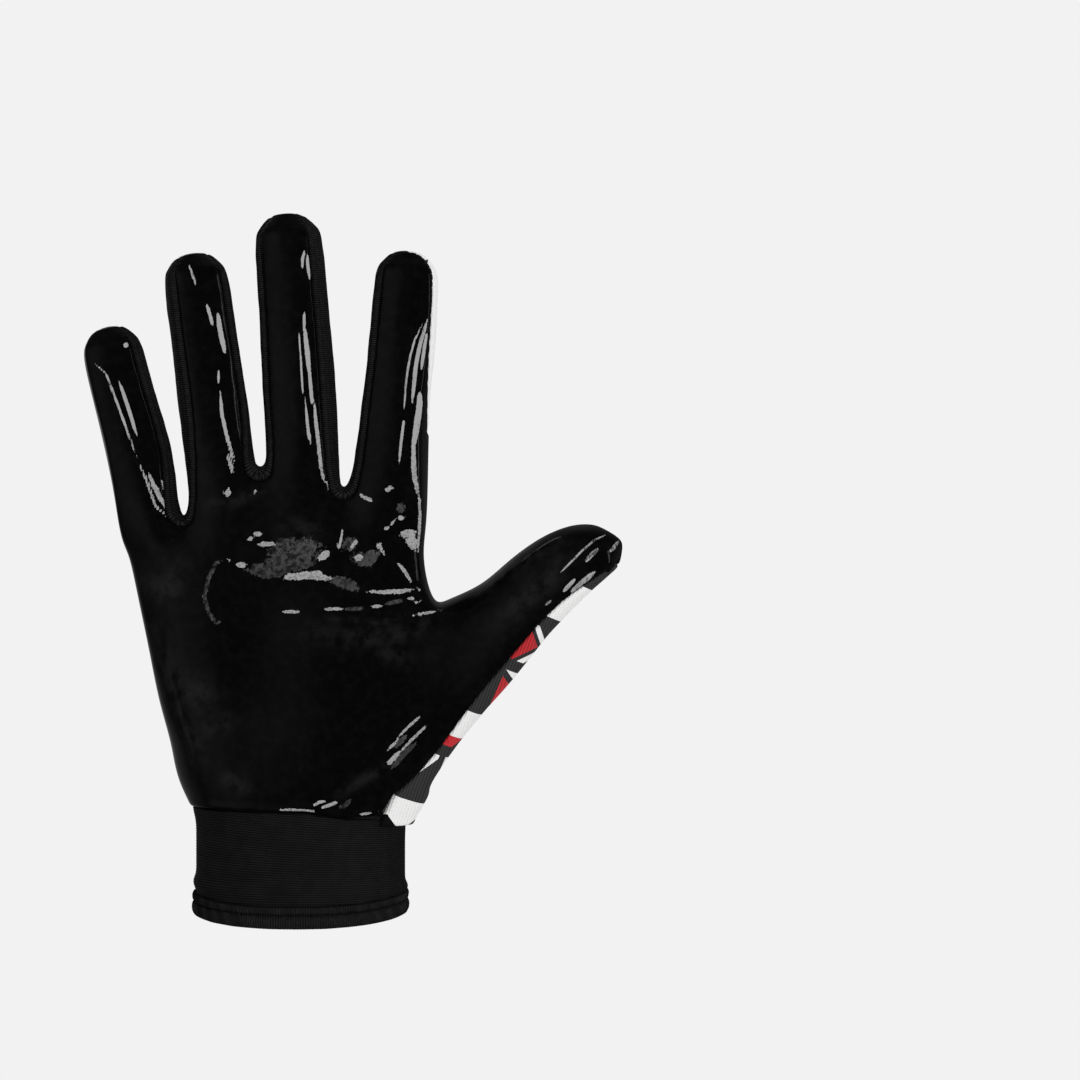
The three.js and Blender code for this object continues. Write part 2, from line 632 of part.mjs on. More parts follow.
// One panel as a closed solid: its outer face, the same face set in by the wall, and a rim round
// its edge, which is drawn back from the seam by half the seam gap.
function panelGeometry(mesh, normals, panel, wall) {
  const quads = mesh.quads.filter((q) => q.panel === panel).map((q) => q.at);
  const directed = new Set();
  for (const at of quads) for (let i = 0; i < 4; i++) directed.add(at[i] + "," + at[(i + 1) % 4]);
  const rim = [...directed]
    .map((key) => key.split(",").map(Number))
    .filter(([a, b]) => !directed.has(b + "," + a));
  const pull = new Map();
  for (const [a, b] of rim) {
    const run = mesh.points[b].clone().sub(mesh.points[a]).normalize();
    for (const i of [a, b]) {
      if (!pull.has(i)) pull.set(i, []);
      pull.get(i).push(new THREE.Vector3().crossVectors(normals[i], run).normalize());
    }
  }
  const place = new Map();
  const positions = [];
  const at = (i, inner) => {
    const key = i + (inner ? "i" : "o");
    if (!place.has(key)) {
      const p = mesh.points[i].clone();
      if (pull.has(i)) {
        const [m, n] = pull.get(i);
        const inward = m.clone().add(n ?? m).normalize();
        const reach = seamGap / 2 / Math.max(0.5, inward.dot(m));
        p.addScaledVector(inward, reach);
      }
      if (inner) p.addScaledVector(normals[i], -wall);
      place.set(key, positions.length / 3);
      positions.push(p.x, p.y, p.z);
    }
    return place.get(key);
  };
  const index = [];
  for (const [a, b, c, d] of quads) {
    index.push(at(a), at(b), at(c), at(a), at(c), at(d));
    index.push(at(a, true), at(c, true), at(b, true), at(a, true), at(d, true), at(c, true));
  }
  for (const [a, b] of rim) index.push(at(a), at(a, true), at(b), at(b), at(a, true), at(b, true));
  return new THREE.BufferGeometry()
    .setAttribute("position", new THREE.Float32BufferAttribute(positions, 3))
    .setIndex(index);
}

// A tube round the wrist: the profile on the outside, a plain wall on the inside. droop is the sag
// of its lower end at the palm side, fall the slope of its upper end.
function wristGeometry(profile, low, high, wall, droop, fall) {
  const loops = [];
  const ring = (set, up) => {
    const z = mix(low, high, up);
    const points = [];
    for (let i = 0; i < wristSides; i++) {
      const [a, b] = roundPoint((360 * i) / wristSides, roundness);
      const sag = droop * (1 - up) * Math.max(0, -b) ** 2;
      const x = a * (wristWidth / 2 + set);
      points.push([x, b * (wristDepth / 2 + set), z - sag - fall * x * up]);
    }
    return points;
  };
  for (const s of profile) loops.push(ring(s.out * wall, s.up));
  for (const s of [...profile].reverse()) loops.push(ring(-wall, s.up));
  const positions = loops.flat(2);
  const index = [];
  loops.forEach((_, r) => {
    const next = (r + 1) % loops.length;
    for (let i = 0; i < wristSides; i++) {
      const n = (i + 1) % wristSides;
      const [a, b] = [r * wristSides + i, r * wristSides + n];
      const [c, d] = [next * wristSides + n, next * wristSides + i];
      index.push(a, d, b, b, d, c);
    }
  });
  return new THREE.BufferGeometry()
    .setAttribute("position", new THREE.Float32BufferAttribute(positions, 3))
    .setIndex(index);
}

function piece(name, geometry, color, roughness) {
  geometry.computeVertexNormals();
  const material = new THREE.MeshStandardMaterial({ color, roughness, metalness: 0 });
  const mesh = new THREE.Mesh(geometry, material);
  mesh.name = name;
  return mesh;
}

buildCage();
fitCage(cage);
const fine = subdivide(cage);
fine.points = limitPoints(fine);
const normals = pointNormals(fine);

const glove = new THREE.Group();
const addPanel = (name, wall, color, roughness) => {
  glove.add(piece(name, panelGeometry(fine, normals, name, wall), color, roughness));
};
for (const zone of ["hand", ...FINGERS.map((f) => f.name), "thumb"]) {
  addPanel("palm_" + zone, palmWall, 0x0b0b0c, 0.12);
  addPanel("back_" + zone, backWall, 0x2b2b2d, 0.8);
}
for (const name of GUSSETS) addPanel(name, gussetWall, 0x101012, 0.9);
const cuffEnds = [hemHeight + seamGap / 2, wristZ - seamGap / 2];
const cuff = wristGeometry(CUFF_PROFILE, ...cuffEnds, cuffWall, 0, wristFall);
const hem = wristGeometry(HEM_PROFILE, 0, hemHeight - seamGap / 2, hemWall, hemDroop, 0);
glove.add(piece("cuff", cuff, 0x0d0d0e, 0.92));
glove.add(piece("hem", hem, 0x0f0f10, 0.95));

export default glove;
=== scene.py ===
# A football receiver's glove for the right hand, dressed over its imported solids.
# The smooth surface is worked out from the same sizes and tables as the solids are. Each panel is
# then cut out of it, its seams are rolled in, and the film, the knits and the print are laid on.
# The tables are in millimetres or in shares of the named sizes; the meshes are in metres.
import math

import bpy
import numpy as np
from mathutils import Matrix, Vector, kdtree, noise


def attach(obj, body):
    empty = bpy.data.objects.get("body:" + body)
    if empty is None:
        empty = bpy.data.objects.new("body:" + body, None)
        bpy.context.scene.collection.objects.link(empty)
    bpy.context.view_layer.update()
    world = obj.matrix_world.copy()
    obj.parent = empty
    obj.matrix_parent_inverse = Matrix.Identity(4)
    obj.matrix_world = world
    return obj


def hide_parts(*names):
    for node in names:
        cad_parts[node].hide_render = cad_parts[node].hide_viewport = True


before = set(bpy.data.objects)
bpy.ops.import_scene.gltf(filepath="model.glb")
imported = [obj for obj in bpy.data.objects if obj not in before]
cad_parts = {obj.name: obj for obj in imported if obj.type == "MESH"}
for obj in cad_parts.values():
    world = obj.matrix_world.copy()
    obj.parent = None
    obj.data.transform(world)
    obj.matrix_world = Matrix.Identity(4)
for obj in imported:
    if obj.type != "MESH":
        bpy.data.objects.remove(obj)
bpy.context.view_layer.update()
MM = 0.001

# Sizes of the solids that are repeated here.
CUFF_WALL = 1.8
HEM_HEIGHT = 7.5
CUFF_HEIGHT = 24.5
WRIST_WIDTH = 68.4
WRIST_DEPTH = 46
WRIST_TILT = 5.4
PALM_LENGTH = 109.6
PALM_DEPTH = 31
FINGER_LENGTH = 82.7
FINGER_WIDTH = 23.5
FINGER_DEPTH = 19
CROTCH_GAP = 3.4
CROTCH_SEAM = 8
THUMB_LENGTH = 83.4
THUMB_WIDTH = 23.4
THUMB_DEPTH = 20
THUMB_ANGLE = 36.2
WRIST_Z = HEM_HEIGHT + CUFF_HEIGHT
WRIST_FALL = math.tan(math.radians(WRIST_TILT))
LEVEL_RISE = 0.34

# Fingers, with the same columns as in the solids' source.
FINGER_COLUMNS = ("name", "cell", "width", "depth", "length", "splay", "roll", "curl", "bow", "set")
FINGERS = [
    dict(zip(FINGER_COLUMNS, row))
    for row in (
        ("little", 0.87, 0.855, 0.89, 0.74, 13.4, 2, 0.1, 0, 0.0),
        ("ring", 1.068, 0.915, 0.96, 0.902, 7.0, 15, 0.08, 0, 0.02),
        ("middle", 1.162, 0.96, 0.98, 1.0, 3.5, -7, 0.07, 0.004, 0.03),
        ("index", 1.11, 0.925, 0.97, 0.941, -5.6, -2, 0.08, 0.01, 0.02),
    )
]
KNUCKLE_START = -0.589
FOOT_RISE = (0.872, 0.915, 1.042, 0.994, 0.915)
FOOT = dict(front=0.68, back=0.72, corner=0.8, outer_corner=0.62, side=0.42, outer_inset=0.25)
WEB = dict(seam_drop=0.45, slope=0.9, middle=0.4)
# Sections along a finger: along, width, depth and edge.
FINGER_SECTIONS = ((0.27, 1.045, 1.03, 0), (0.58, 1.0, 0.98, 1))
# Round tip: turn and pinch.
TIP_SECTIONS = ((0, 0), (38, 0.4), (66, 1))
TIP_WIDTH = 0.96
TIP_REACH = 0.5
TIP_FLAT = 0.35

# Seam angles round a finger: corner, near, far and back.
GUSSET_ANGLES = (45, 75, 105, 135)
OUTER_ANGLES = (42, 68, 95, 135)
PINCHED_ANGLES = (62, 80, 100, 118)
# The index finger's thumb side, where the back panel's edge shows from the first section upwards.
EDGE_ANGLES = (46, 84, 106, 138)
EDGE_HIGH = (40, 63, 94, 132)
EDGE_PINCHED = (48, 66, 94, 118)
EDGE_FROM_RING = 1
THUMB_ANGLES = (45, 75, 105, 135)
THUMB_PINCHED = (74, 84, 96, 106)

# Palm sections: rise, left, right, front, back, open and seam.
PALM_ROWS = (
    (0.0, 0.03, 0.15, 0.72, 0.7, 0, 5.6),
    (0.08, 0.155, 1.0, 0.75, 0.69, 0.35, 6.5),
    (0.2, 0.3, 0.9, 0.73, 0.66, 0.8, 4),
    (0.34, 0.465, 0.9, 0.66, 0.6, 0.85, 1),
    (0.49, 0.61, 1.0, 0.58, 0.56, 0.78, 0),
    (0.645, 0.76, 1.3, 0.53, 0.52, 0.35, 0),
    (0.76, 0.88, 0.85, 0.5, 0.475, 0, 0),
)
FIRST_THUMB_ROW = 1
LAST_THUMB_ROW = 5
# Rises and hollows: side, x, z, across, up and rise.
RELIEF = (
    ("palm", 0.2, 0.3, 0.2, 0.22, 0.18),
    ("palm", -0.28, 0.25, 0.16, 0.26, 0.1),
    ("palm", -0.02, 0.55, 0.16, 0.18, -0.1),
    ("palm", 0.0, 0.86, 0.5, 0.08, 0.05),
    ("back", 0.25, 0.84, 0.09, 0.1, 0.045),
    ("back", 0.0, 0.88, 0.09, 0.1, 0.045),
    ("back", -0.25, 0.82, 0.09, 0.1, 0.04),
)
# Thumb sections: along, off, width, depth, lean, forward and pinch.
THUMB_SECTIONS = (
    (0.115, -0.028, 2.5, 1.62, 5, 0.02, 0),
    (0.3, 0.0, 1.95, 1.42, 3, 0.05, 0),
    (0.48, 0.03, 1.62, 1.25, -3, 0.08, 0),
    (0.66, 0.06, 1.3, 1.1, -8, 0.11, 0.1),
    (0.82, 0.065, 1.0, 0.95, -14, 0.13, 0.45),
    (0.925, 0.045, 0.73, 0.7, -17, 0.135, 0.95),
)
THUMB_TIP = dict(along=0.99, off=0.006, lean=-4, forward=0.135)
THUMB_ROOT = dict(out=0.041, rise=0.338)
TIP_SPREAD = dict(across=0.2, deep=0.1, back=0.016)
THUMB_ROLL = 14

ROUNDNESS = 2.3
PALM_ROUNDNESS = 2.6
FIT_PASSES = 8
# Share of what is still missing that each pass adds.
FIT_SHARE = 0.9
DIGITS = [f["name"] for f in FINGERS] + ["thumb"]
GUSSETS = [f"gusset_{a['name']}_{b['name']}" for a, b in zip(FINGERS, FINGERS[1:])]
KINDS = ["palm", "back"] + GUSSETS


def mix(a, b, t):
    return a + (b - a) * t


def smooth(x):
    x = np.clip(x, 0, 1)
    return x * x * (3 - 2 * x)


def round_point(angle, power=ROUNDNESS):
    """Point of a rounded section at an angle from its palm side, in units of its half sizes."""
    s, c = math.sin(math.radians(angle)), math.cos(math.radians(angle))
    bend = 2 / power
    return math.copysign(abs(s) ** bend, s), -math.copysign(abs(c) ** bend, c)


# The cage of the smooth surface: points, and quads marked with their panel and digit.
points = []
quads = []


def add_point(x, y, z):
    points.append((x, y, z))
    return len(points) - 1


def add_quad(digit, kind, *at):
    quads.append((digit, kind, at))


CELLS = [f["cell"] * FINGER_WIDTH for f in FINGERS]
KNUCKLE_WIDTH = sum(CELLS)
CELL_EDGES = [KNUCKLE_START * KNUCKLE_WIDTH + sum(CELLS[:k]) for k in range(len(CELLS) + 1)]
KNUCKLE_MIDDLE = (CELL_EDGES[0] + CELL_EDGES[-1]) / 2


def relief(side, x, z):
    total = 0
    for where, rx, rz, across, up, rise in RELIEF:
        if where != side:
            continue
        dx = (x - KNUCKLE_MIDDLE - rx * KNUCKLE_WIDTH) / (across * KNUCKLE_WIDTH)
        dz = (z - WRIST_Z - rz * PALM_LENGTH) / (up * PALM_LENGTH)
        total += rise * PALM_DEPTH * math.exp(-dx * dx - dz * dz)
    return total


def ring_angles(left, right):
    return [
        -left[0], 0, right[0], right[1], right[2], right[3],
        180, -left[3], -left[2], -left[1],
    ]


def pinched(angles, narrow, pinch):
    return [mix(a, b, pinch) for a, b in zip(angles, narrow)]


def turned(side, back, degrees):
    """The section's two axes, turned about the way it faces."""
    c, s = math.cos(math.radians(degrees)), math.sin(math.radians(degrees))
    return side * c + back * s, back * c - side * s


def finger_frame(index, along):
    f = FINGERS[index]
    length = f["length"] * FINGER_LENGTH
    lean = math.radians(f["splay"])
    axis = Vector((-math.sin(lean), 0, math.cos(lean)))
    side = Vector((math.cos(lean), 0, math.sin(lean)))
    rise = (FOOT_RISE[index] + FOOT_RISE[index + 1]) / 2
    middle = (CELL_EDGES[index] + CELL_EDGES[index + 1]) / 2
    centre = Vector((middle, -f["set"] * PALM_DEPTH, WRIST_Z + PALM_LENGTH * rise))
    centre += axis * along * length + side * 4 * f["bow"] * length * along * (1 - along)
    centre.y -= f["curl"] * length * along * along
    heading = axis.copy()
    heading.y -= 2 * f["curl"] * along
    heading.normalize()
    back = heading.cross(side).normalized()
    u, v = turned(side, back, f["roll"] * min(1, along / 0.25))
    return centre, u, v


def section_ring(place, half_width, half_depth, angles):
    centre, u, v = place
    ring = []
    for angle in angles:
        a, b = round_point(angle)
        ring.append(add_point(*(centre + u * a * half_width + v * b * half_depth)))
    return ring


def finger_foot(index):
    f = FINGERS[index]
    edges = CELL_EDGES[index : index + 2]
    heights = [WRIST_Z + r * PALM_LENGTH for r in FOOT_RISE[index : index + 2]]
    outer = [index == 0, index == len(FINGERS) - 1]
    middle, half = sum(edges) / 2, (edges[1] - edges[0]) / 2
    front = FOOT["front"] * f["depth"] * FINGER_DEPTH
    back = FOOT["back"] * f["depth"] * FINGER_DEPTH
    seam_drop = WEB["seam_drop"] * CROTCH_SEAM
    slope = WEB["slope"] * CROTCH_SEAM
    middle_z = sum(heights) / 2

    def place(x, y, z):
        return add_point(x, y - f["set"] * PALM_DEPTH, z)

    def corner(k, depth, drop):
        inset = FOOT["outer_inset"] * half if outer[k] else CROTCH_SEAM / 2
        share = FOOT["outer_corner"] if outer[k] else FOOT["corner"]
        return place(edges[k] + (-inset if k else inset), share * depth, heights[k] - drop)

    def side(k, depth, drop):
        inset = 0 if outer[k] else CROTCH_GAP / 2
        share = FOOT["side"] * FOOT["outer_corner"]
        return place(edges[k] + (-inset if k else inset), share * depth, heights[k] - drop)

    return [
        corner(0, -front, seam_drop),
        place(middle, -front, middle_z - seam_drop),
        corner(1, -front, seam_drop),
        side(1, -front, seam_drop if outer[1] else 0),
        side(1, back, WEB["middle"] * slope),
        corner(1, back, slope),
        place(middle, back, middle_z - slope),
        corner(0, back, slope),
        side(0, back, WEB["middle"] * slope),
        side(0, -front, seam_drop if outer[0] else 0),
    ]


def finger_rings(index):
    f = FINGERS[index]
    left = OUTER_ANGLES if index == 0 else GUSSET_ANGLES
    outside = index == len(FINGERS) - 1
    half_width = f["width"] * FINGER_WIDTH / 2
    half_depth = f["depth"] * FINGER_DEPTH / 2
    rings = [finger_foot(index)]
    for along, width, depth, edge in FINGER_SECTIONS:
        place = finger_frame(index, along)
        right = pinched(EDGE_ANGLES, EDGE_HIGH, edge) if outside else GUSSET_ANGLES
        angles = ring_angles(left, right)
        rings.append(section_ring(place, width * half_width, depth * half_depth, angles))
    reach = 2 * TIP_REACH * half_width
    length = f["length"] * FINGER_LENGTH
    for turn, pinch in TIP_SECTIONS:
        place = finger_frame(index, 1 - reach * (1 - math.sin(math.radians(turn))) / length)
        shrink = TIP_WIDTH * math.cos(math.radians(turn)) ** 0.85
        edge = (EDGE_HIGH, EDGE_PINCHED) if outside else (GUSSET_ANGLES, PINCHED_ANGLES)
        angles = ring_angles(pinched(left, PINCHED_ANGLES, pinch), pinched(*edge, pinch))
        rings.append(section_ring(place, shrink * half_width, shrink * half_depth, angles))
    return rings


def finger_panels(index, ring):
    outside = index == len(FINGERS) - 1
    side = "palm" if ring < EDGE_FROM_RING else "back"
    right = ["palm", side, "back"] if outside else [GUSSETS[index]] * 3
    left = ["back", "palm", "palm"] if index == 0 else [GUSSETS[index - 1]] * 3
    return ["palm", "palm", *right, "back", "back", *left]


def close_finger(index, ring):
    centre, _, v = finger_frame(index, 1)
    f = FINGERS[index]
    reach = 0.75 * TIP_FLAT * f["depth"] * FINGER_DEPTH / 2
    inner = [add_point(*(centre + v * side * reach)) for side in (-1, 1)]
    rows = [
        [ring[0], ring[1], ring[2]],
        [ring[9], inner[0], ring[3]],
        [ring[8], inner[1], ring[4]],
        [ring[7], ring[6], ring[5]],
    ]
    outside = index == len(FINGERS) - 1
    for r in range(3):
        for c in range(2):
            kind = "back" if r == 2 or (outside and r == 1 and c == 1) else "palm"
            add_quad(f["name"], kind, rows[r][c], rows[r][c + 1], rows[r + 1][c + 1], rows[r + 1][c])


def palm_row(row, columns):
    rise, left_share, right_share, front, back, open_share, seam = row
    z = WRIST_Z + rise * PALM_LENGTH
    fall = WRIST_FALL * max(0, 1 - rise / LEVEL_RISE)
    left = mix(-WRIST_WIDTH / 2, CELL_EDGES[0], left_share)
    right = mix(WRIST_WIDTH / 2, CELL_EDGES[-1], right_share)
    middle, half = (left + right) / 2, (right - left) / 2

    def keep(u):
        closed = max(0, 1 - abs(u) ** PALM_ROUNDNESS) ** (1 / PALM_ROUNDNESS)
        if u < 0 or open_share == 0:
            return closed
        return max(closed, 1 - (1 - open_share) * u**3)

    def surface(share, side):
        x = mix(left, right, share)
        depth = front if side == "palm" else back
        out = depth * PALM_DEPTH * keep((x - middle) / half) + min(1, 4 * share) * relief(side, x, z)
        return add_point(x, -out if side == "palm" else out, z - fall * x)

    def side_point(x, corner):
        return add_point(x, FOOT["side"] * points[corner][1], z - fall * x)

    palm = []
    for i, share in enumerate(columns):
        to_seam = max(0, i - len(columns) + 3) / 2 * seam / (right - left)
        palm.append(surface(share - to_seam, "palm"))
    backs = [surface(share, "back") for share in reversed(columns)]
    right_side = [side_point(right, palm[-1]), side_point(right, backs[0])]
    left_side = [side_point(left, backs[-1]), side_point(left, palm[0])]
    return [*palm, *right_side, *backs, *left_side]


def thumb_frame(along, off, lean, forward):
    angle = math.radians(THUMB_ANGLE)
    axis = Vector((math.cos(angle), 0, math.sin(angle)))
    across = Vector((-math.sin(angle), 0, math.cos(angle)))
    root_x = (0.5 + THUMB_ROOT["out"]) * WRIST_WIDTH
    centre = Vector((root_x, 0, WRIST_Z + THUMB_ROOT["rise"] * PALM_LENGTH))
    centre += axis * along * THUMB_LENGTH + across * off * THUMB_LENGTH
    centre.y -= forward * THUMB_LENGTH
    up = Vector((math.sin(math.radians(lean)), 0, math.cos(math.radians(lean))))
    u, v = turned(up, Vector((0, 1, 0)), THUMB_ROLL * min(1, along / 0.5))
    return centre, u, v, axis


def thumb_angles(pinch):
    corner, near, far, back = pinched(THUMB_ANGLES, THUMB_PINCHED, pinch)
    half, back_half = corner / 2, (180 + back) / 2
    right = [half, corner, near, far, back, back_half]
    return [-corner, -half, 0, *right, 180, -back_half, -back, -far, -near]


def add_thumb(base):
    rings = [base]
    for along, off, width, depth, lean, forward, pinch in THUMB_SECTIONS:
        place = thumb_frame(along, off, lean, forward)[:3]
        half = width * THUMB_WIDTH / 2, depth * THUMB_DEPTH / 2
        rings.append(section_ring(place, *half, thumb_angles(pinch)))
    count = len(base)
    for a, b in zip(rings, rings[1:]):
        for i in range(count):
            n = (i + 1) % count
            add_quad("thumb", "palm" if i < 6 else "back", a[i], b[i], b[n], a[n])
    ring = rings[-1]
    centre, u_axis, v_axis, axis = thumb_frame(**THUMB_TIP)
    inner = []
    for v in (-1, 1):
        row = []
        for u in (-1, 0, 1):
            p = centre - axis * TIP_SPREAD["back"] * u * u * THUMB_LENGTH
            p = p + u_axis * TIP_SPREAD["across"] * u * THUMB_WIDTH
            row.append(add_point(*(p + v_axis * TIP_SPREAD["deep"] * v * THUMB_DEPTH)))
        inner.append(row)
    rows = [
        ring[:5],
        [ring[13], *inner[0], ring[5]],
        [ring[12], *inner[1], ring[6]],
        [ring[11], ring[10], ring[9], ring[8], ring[7]],
    ]
    for r in range(3):
        for c in range(4):
            kind = "back" if r == 2 or (r == 1 and c == 0) else "palm"
            add_quad("thumb", kind, rows[r][c], rows[r + 1][c], rows[r + 1][c + 1], rows[r][c + 1])


def build_cage():
    """Makes the cage, and returns the rings of each finger."""
    fingers = [finger_rings(index) for index in range(len(FINGERS))]
    for index, rings in enumerate(fingers):
        for r, (a, b) in enumerate(zip(rings, rings[1:])):
            kinds = finger_panels(index, r)
            for i in range(10):
                n = (i + 1) % 10
                add_quad(FINGERS[index]["name"], kinds[i], a[i], a[n], b[n], b[i])
        close_finger(index, rings[-1])
    feet = [rings[0] for rings in fingers]
    for k, (a, b) in enumerate(zip(feet, feet[1:])):
        near, far = [a[2], a[3], a[4], a[5]], [b[0], b[9], b[8], b[7]]
        for i in range(3):
            add_quad("hand", GUSSETS[k], near[i], far[i], far[i + 1], near[i + 1])
    knuckles = [i for ring in feet for i in ring[:3]]
    knuckles += feet[-1][3:5]
    knuckles += [i for ring in reversed(feet) for i in ring[5:8]]
    knuckles += feet[0][8:10]
    columns = [(points[i][0] - CELL_EDGES[0]) / KNUCKLE_WIDTH for i in knuckles[:12]]
    rows = [palm_row(row, columns) for row in PALM_ROWS] + [knuckles]
    count = len(knuckles)
    for r, (a, b) in enumerate(zip(rows, rows[1:])):
        in_thumb = FIRST_THUMB_ROW <= r < LAST_THUMB_ROW
        low = r < FIRST_THUMB_ROW
        for i in range(count):
            right_side = 11 <= i <= 13
            if in_thumb and right_side:
                continue
            on_palm = (i < 13 or i > 25) and not (low and right_side)
            n = (i + 1) % count
            add_quad("hand", "palm" if on_palm else "back", a[i], a[n], b[n], b[i])
    thumb_rows = rows[FIRST_THUMB_ROW : LAST_THUMB_ROW + 1]
    top, bottom = thumb_rows[-1], thumb_rows[0]
    front = [row[11] for row in thumb_rows]
    back = [row[14] for row in reversed(thumb_rows)]
    add_thumb([*front, top[12], top[13], *back, bottom[13], bottom[12]])
    return fingers


def limit_weights():
    """Matrix that takes the cage's points to the places where the smooth surface passes them."""
    count = len(points)
    edges = [set() for _ in points]
    corners = [[] for _ in points]
    uses = {}
    for _, _, at in quads:
        for i in range(4):
            a, b = at[i], at[(i + 1) % 4]
            edges[a].add(b)
            edges[b].add(a)
            corners[a].append(at[(i + 2) % 4])
            uses[min(a, b), max(a, b)] = uses.get((min(a, b), max(a, b)), 0) + 1
    free = [[] for _ in points]
    for (a, b), n in uses.items():
        if n == 1:
            free[a].append(b)
            free[b].append(a)
    weights = np.zeros((count, count))
    for i in range(count):
        n = len(edges[i])
        if n == 0:
            weights[i, i] = 1
            continue
        if free[i]:
            weights[i, i] = 4 / 6
            weights[i, free[i]] = 1 / 6
            continue
        total = n * (n + 5)
        weights[i, i] = n * n / total
        for j in edges[i]:
            weights[i, j] += 4 / total
        for j in corners[i]:
            weights[i, j] += 1 / total
    return weights


def fit_cage():
    """Moves the cage until its smooth surface passes through the points that the tables give."""
    target = np.array(points, float)
    weights = limit_weights()
    fitted = target.copy()
    for _ in range(FIT_PASSES):
        fitted += FIT_SHARE * (target - weights @ fitted)
    return fitted


def read(items, key, width=1, kind=float):
    """A mesh's numbers as an array, with a row of width numbers for each item."""
    values = np.empty(len(items) * width, kind)
    items.foreach_get(key, values)
    return values.reshape(-1, width) if width > 1 else values


def nearest_of(places, goals):
    """For each place, the number of the goal nearest to it."""
    tree = kdtree.KDTree(len(goals))
    for number, goal in enumerate(goals):
        tree.insert(goal, number)
    tree.balance()
    return np.array([tree.find(place)[1] for place in places])


def add_object(name, mesh):
    made = bpy.data.objects.new(name, mesh)
    bpy.context.scene.collection.objects.link(made)
    return made


def add_piece(name, places, faces, material, flows):
    """Makes a smooth object; flows names the numbers that its material reads at each point."""
    mesh = bpy.data.meshes.new(name)
    mesh.from_pydata(places, [], faces)
    for key, values in flows.items():
        layer = mesh.attributes.new(key, "FLOAT", "POINT")
        layer.data.foreach_set("value", np.asarray(values, np.float32))
    mesh.shade_smooth()
    mesh.materials.append(material)
    return add_object(name, mesh)


class Surface:
    """The smooth outer surface: places and normals in millimetres, quads with kind and digit."""

    def __init__(self, cage, levels):
        digits = ["hand"] + DIGITS
        mesh = bpy.data.meshes.new("cage")
        mesh.from_pydata([tuple(p * MM) for p in cage], [], [at for _, _, at in quads])
        marks = [KINDS.index(kind) * len(digits) + digits.index(digit) for digit, kind, _ in quads]
        mesh.polygons.foreach_set("material_index", marks)
        for _ in range(max(marks) + 1):
            mesh.materials.append(None)
        cage_object = bpy.data.objects.new("cage", mesh)
        bpy.context.scene.collection.objects.link(cage_object)
        modifier = cage_object.modifiers.new("smooth", "SUBSURF")
        modifier.levels = modifier.render_levels = levels
        modifier.use_limit_surface = True
        modifier.quality = 6
        fine = bpy.data.meshes.new_from_object(
            cage_object.evaluated_get(bpy.context.evaluated_depsgraph_get())
        )
        self.places = read(fine.vertices, "co", 3) / MM
        self.normals = read(fine.vertex_normals, "vector", 3)
        self.faces = read(fine.loops, "vertex_index", kind=int).reshape(-1, 4)
        found = read(fine.polygons, "material_index", kind=int)
        self.kinds, self.digits = found // len(digits), found % len(digits)
        bpy.data.objects.remove(cage_object)
        bpy.data.meshes.remove(fine)
        bpy.data.meshes.remove(mesh)


def segment_distance(p, a, b):
    """Distance from points to segments, row by row, and the share along them."""
    run = b - a
    share = np.clip(((p - a) * run).sum(1) / np.maximum((run * run).sum(1), 1e-12), 0, 1)
    return np.linalg.norm(p - a - run * share[:, None], axis=1), share


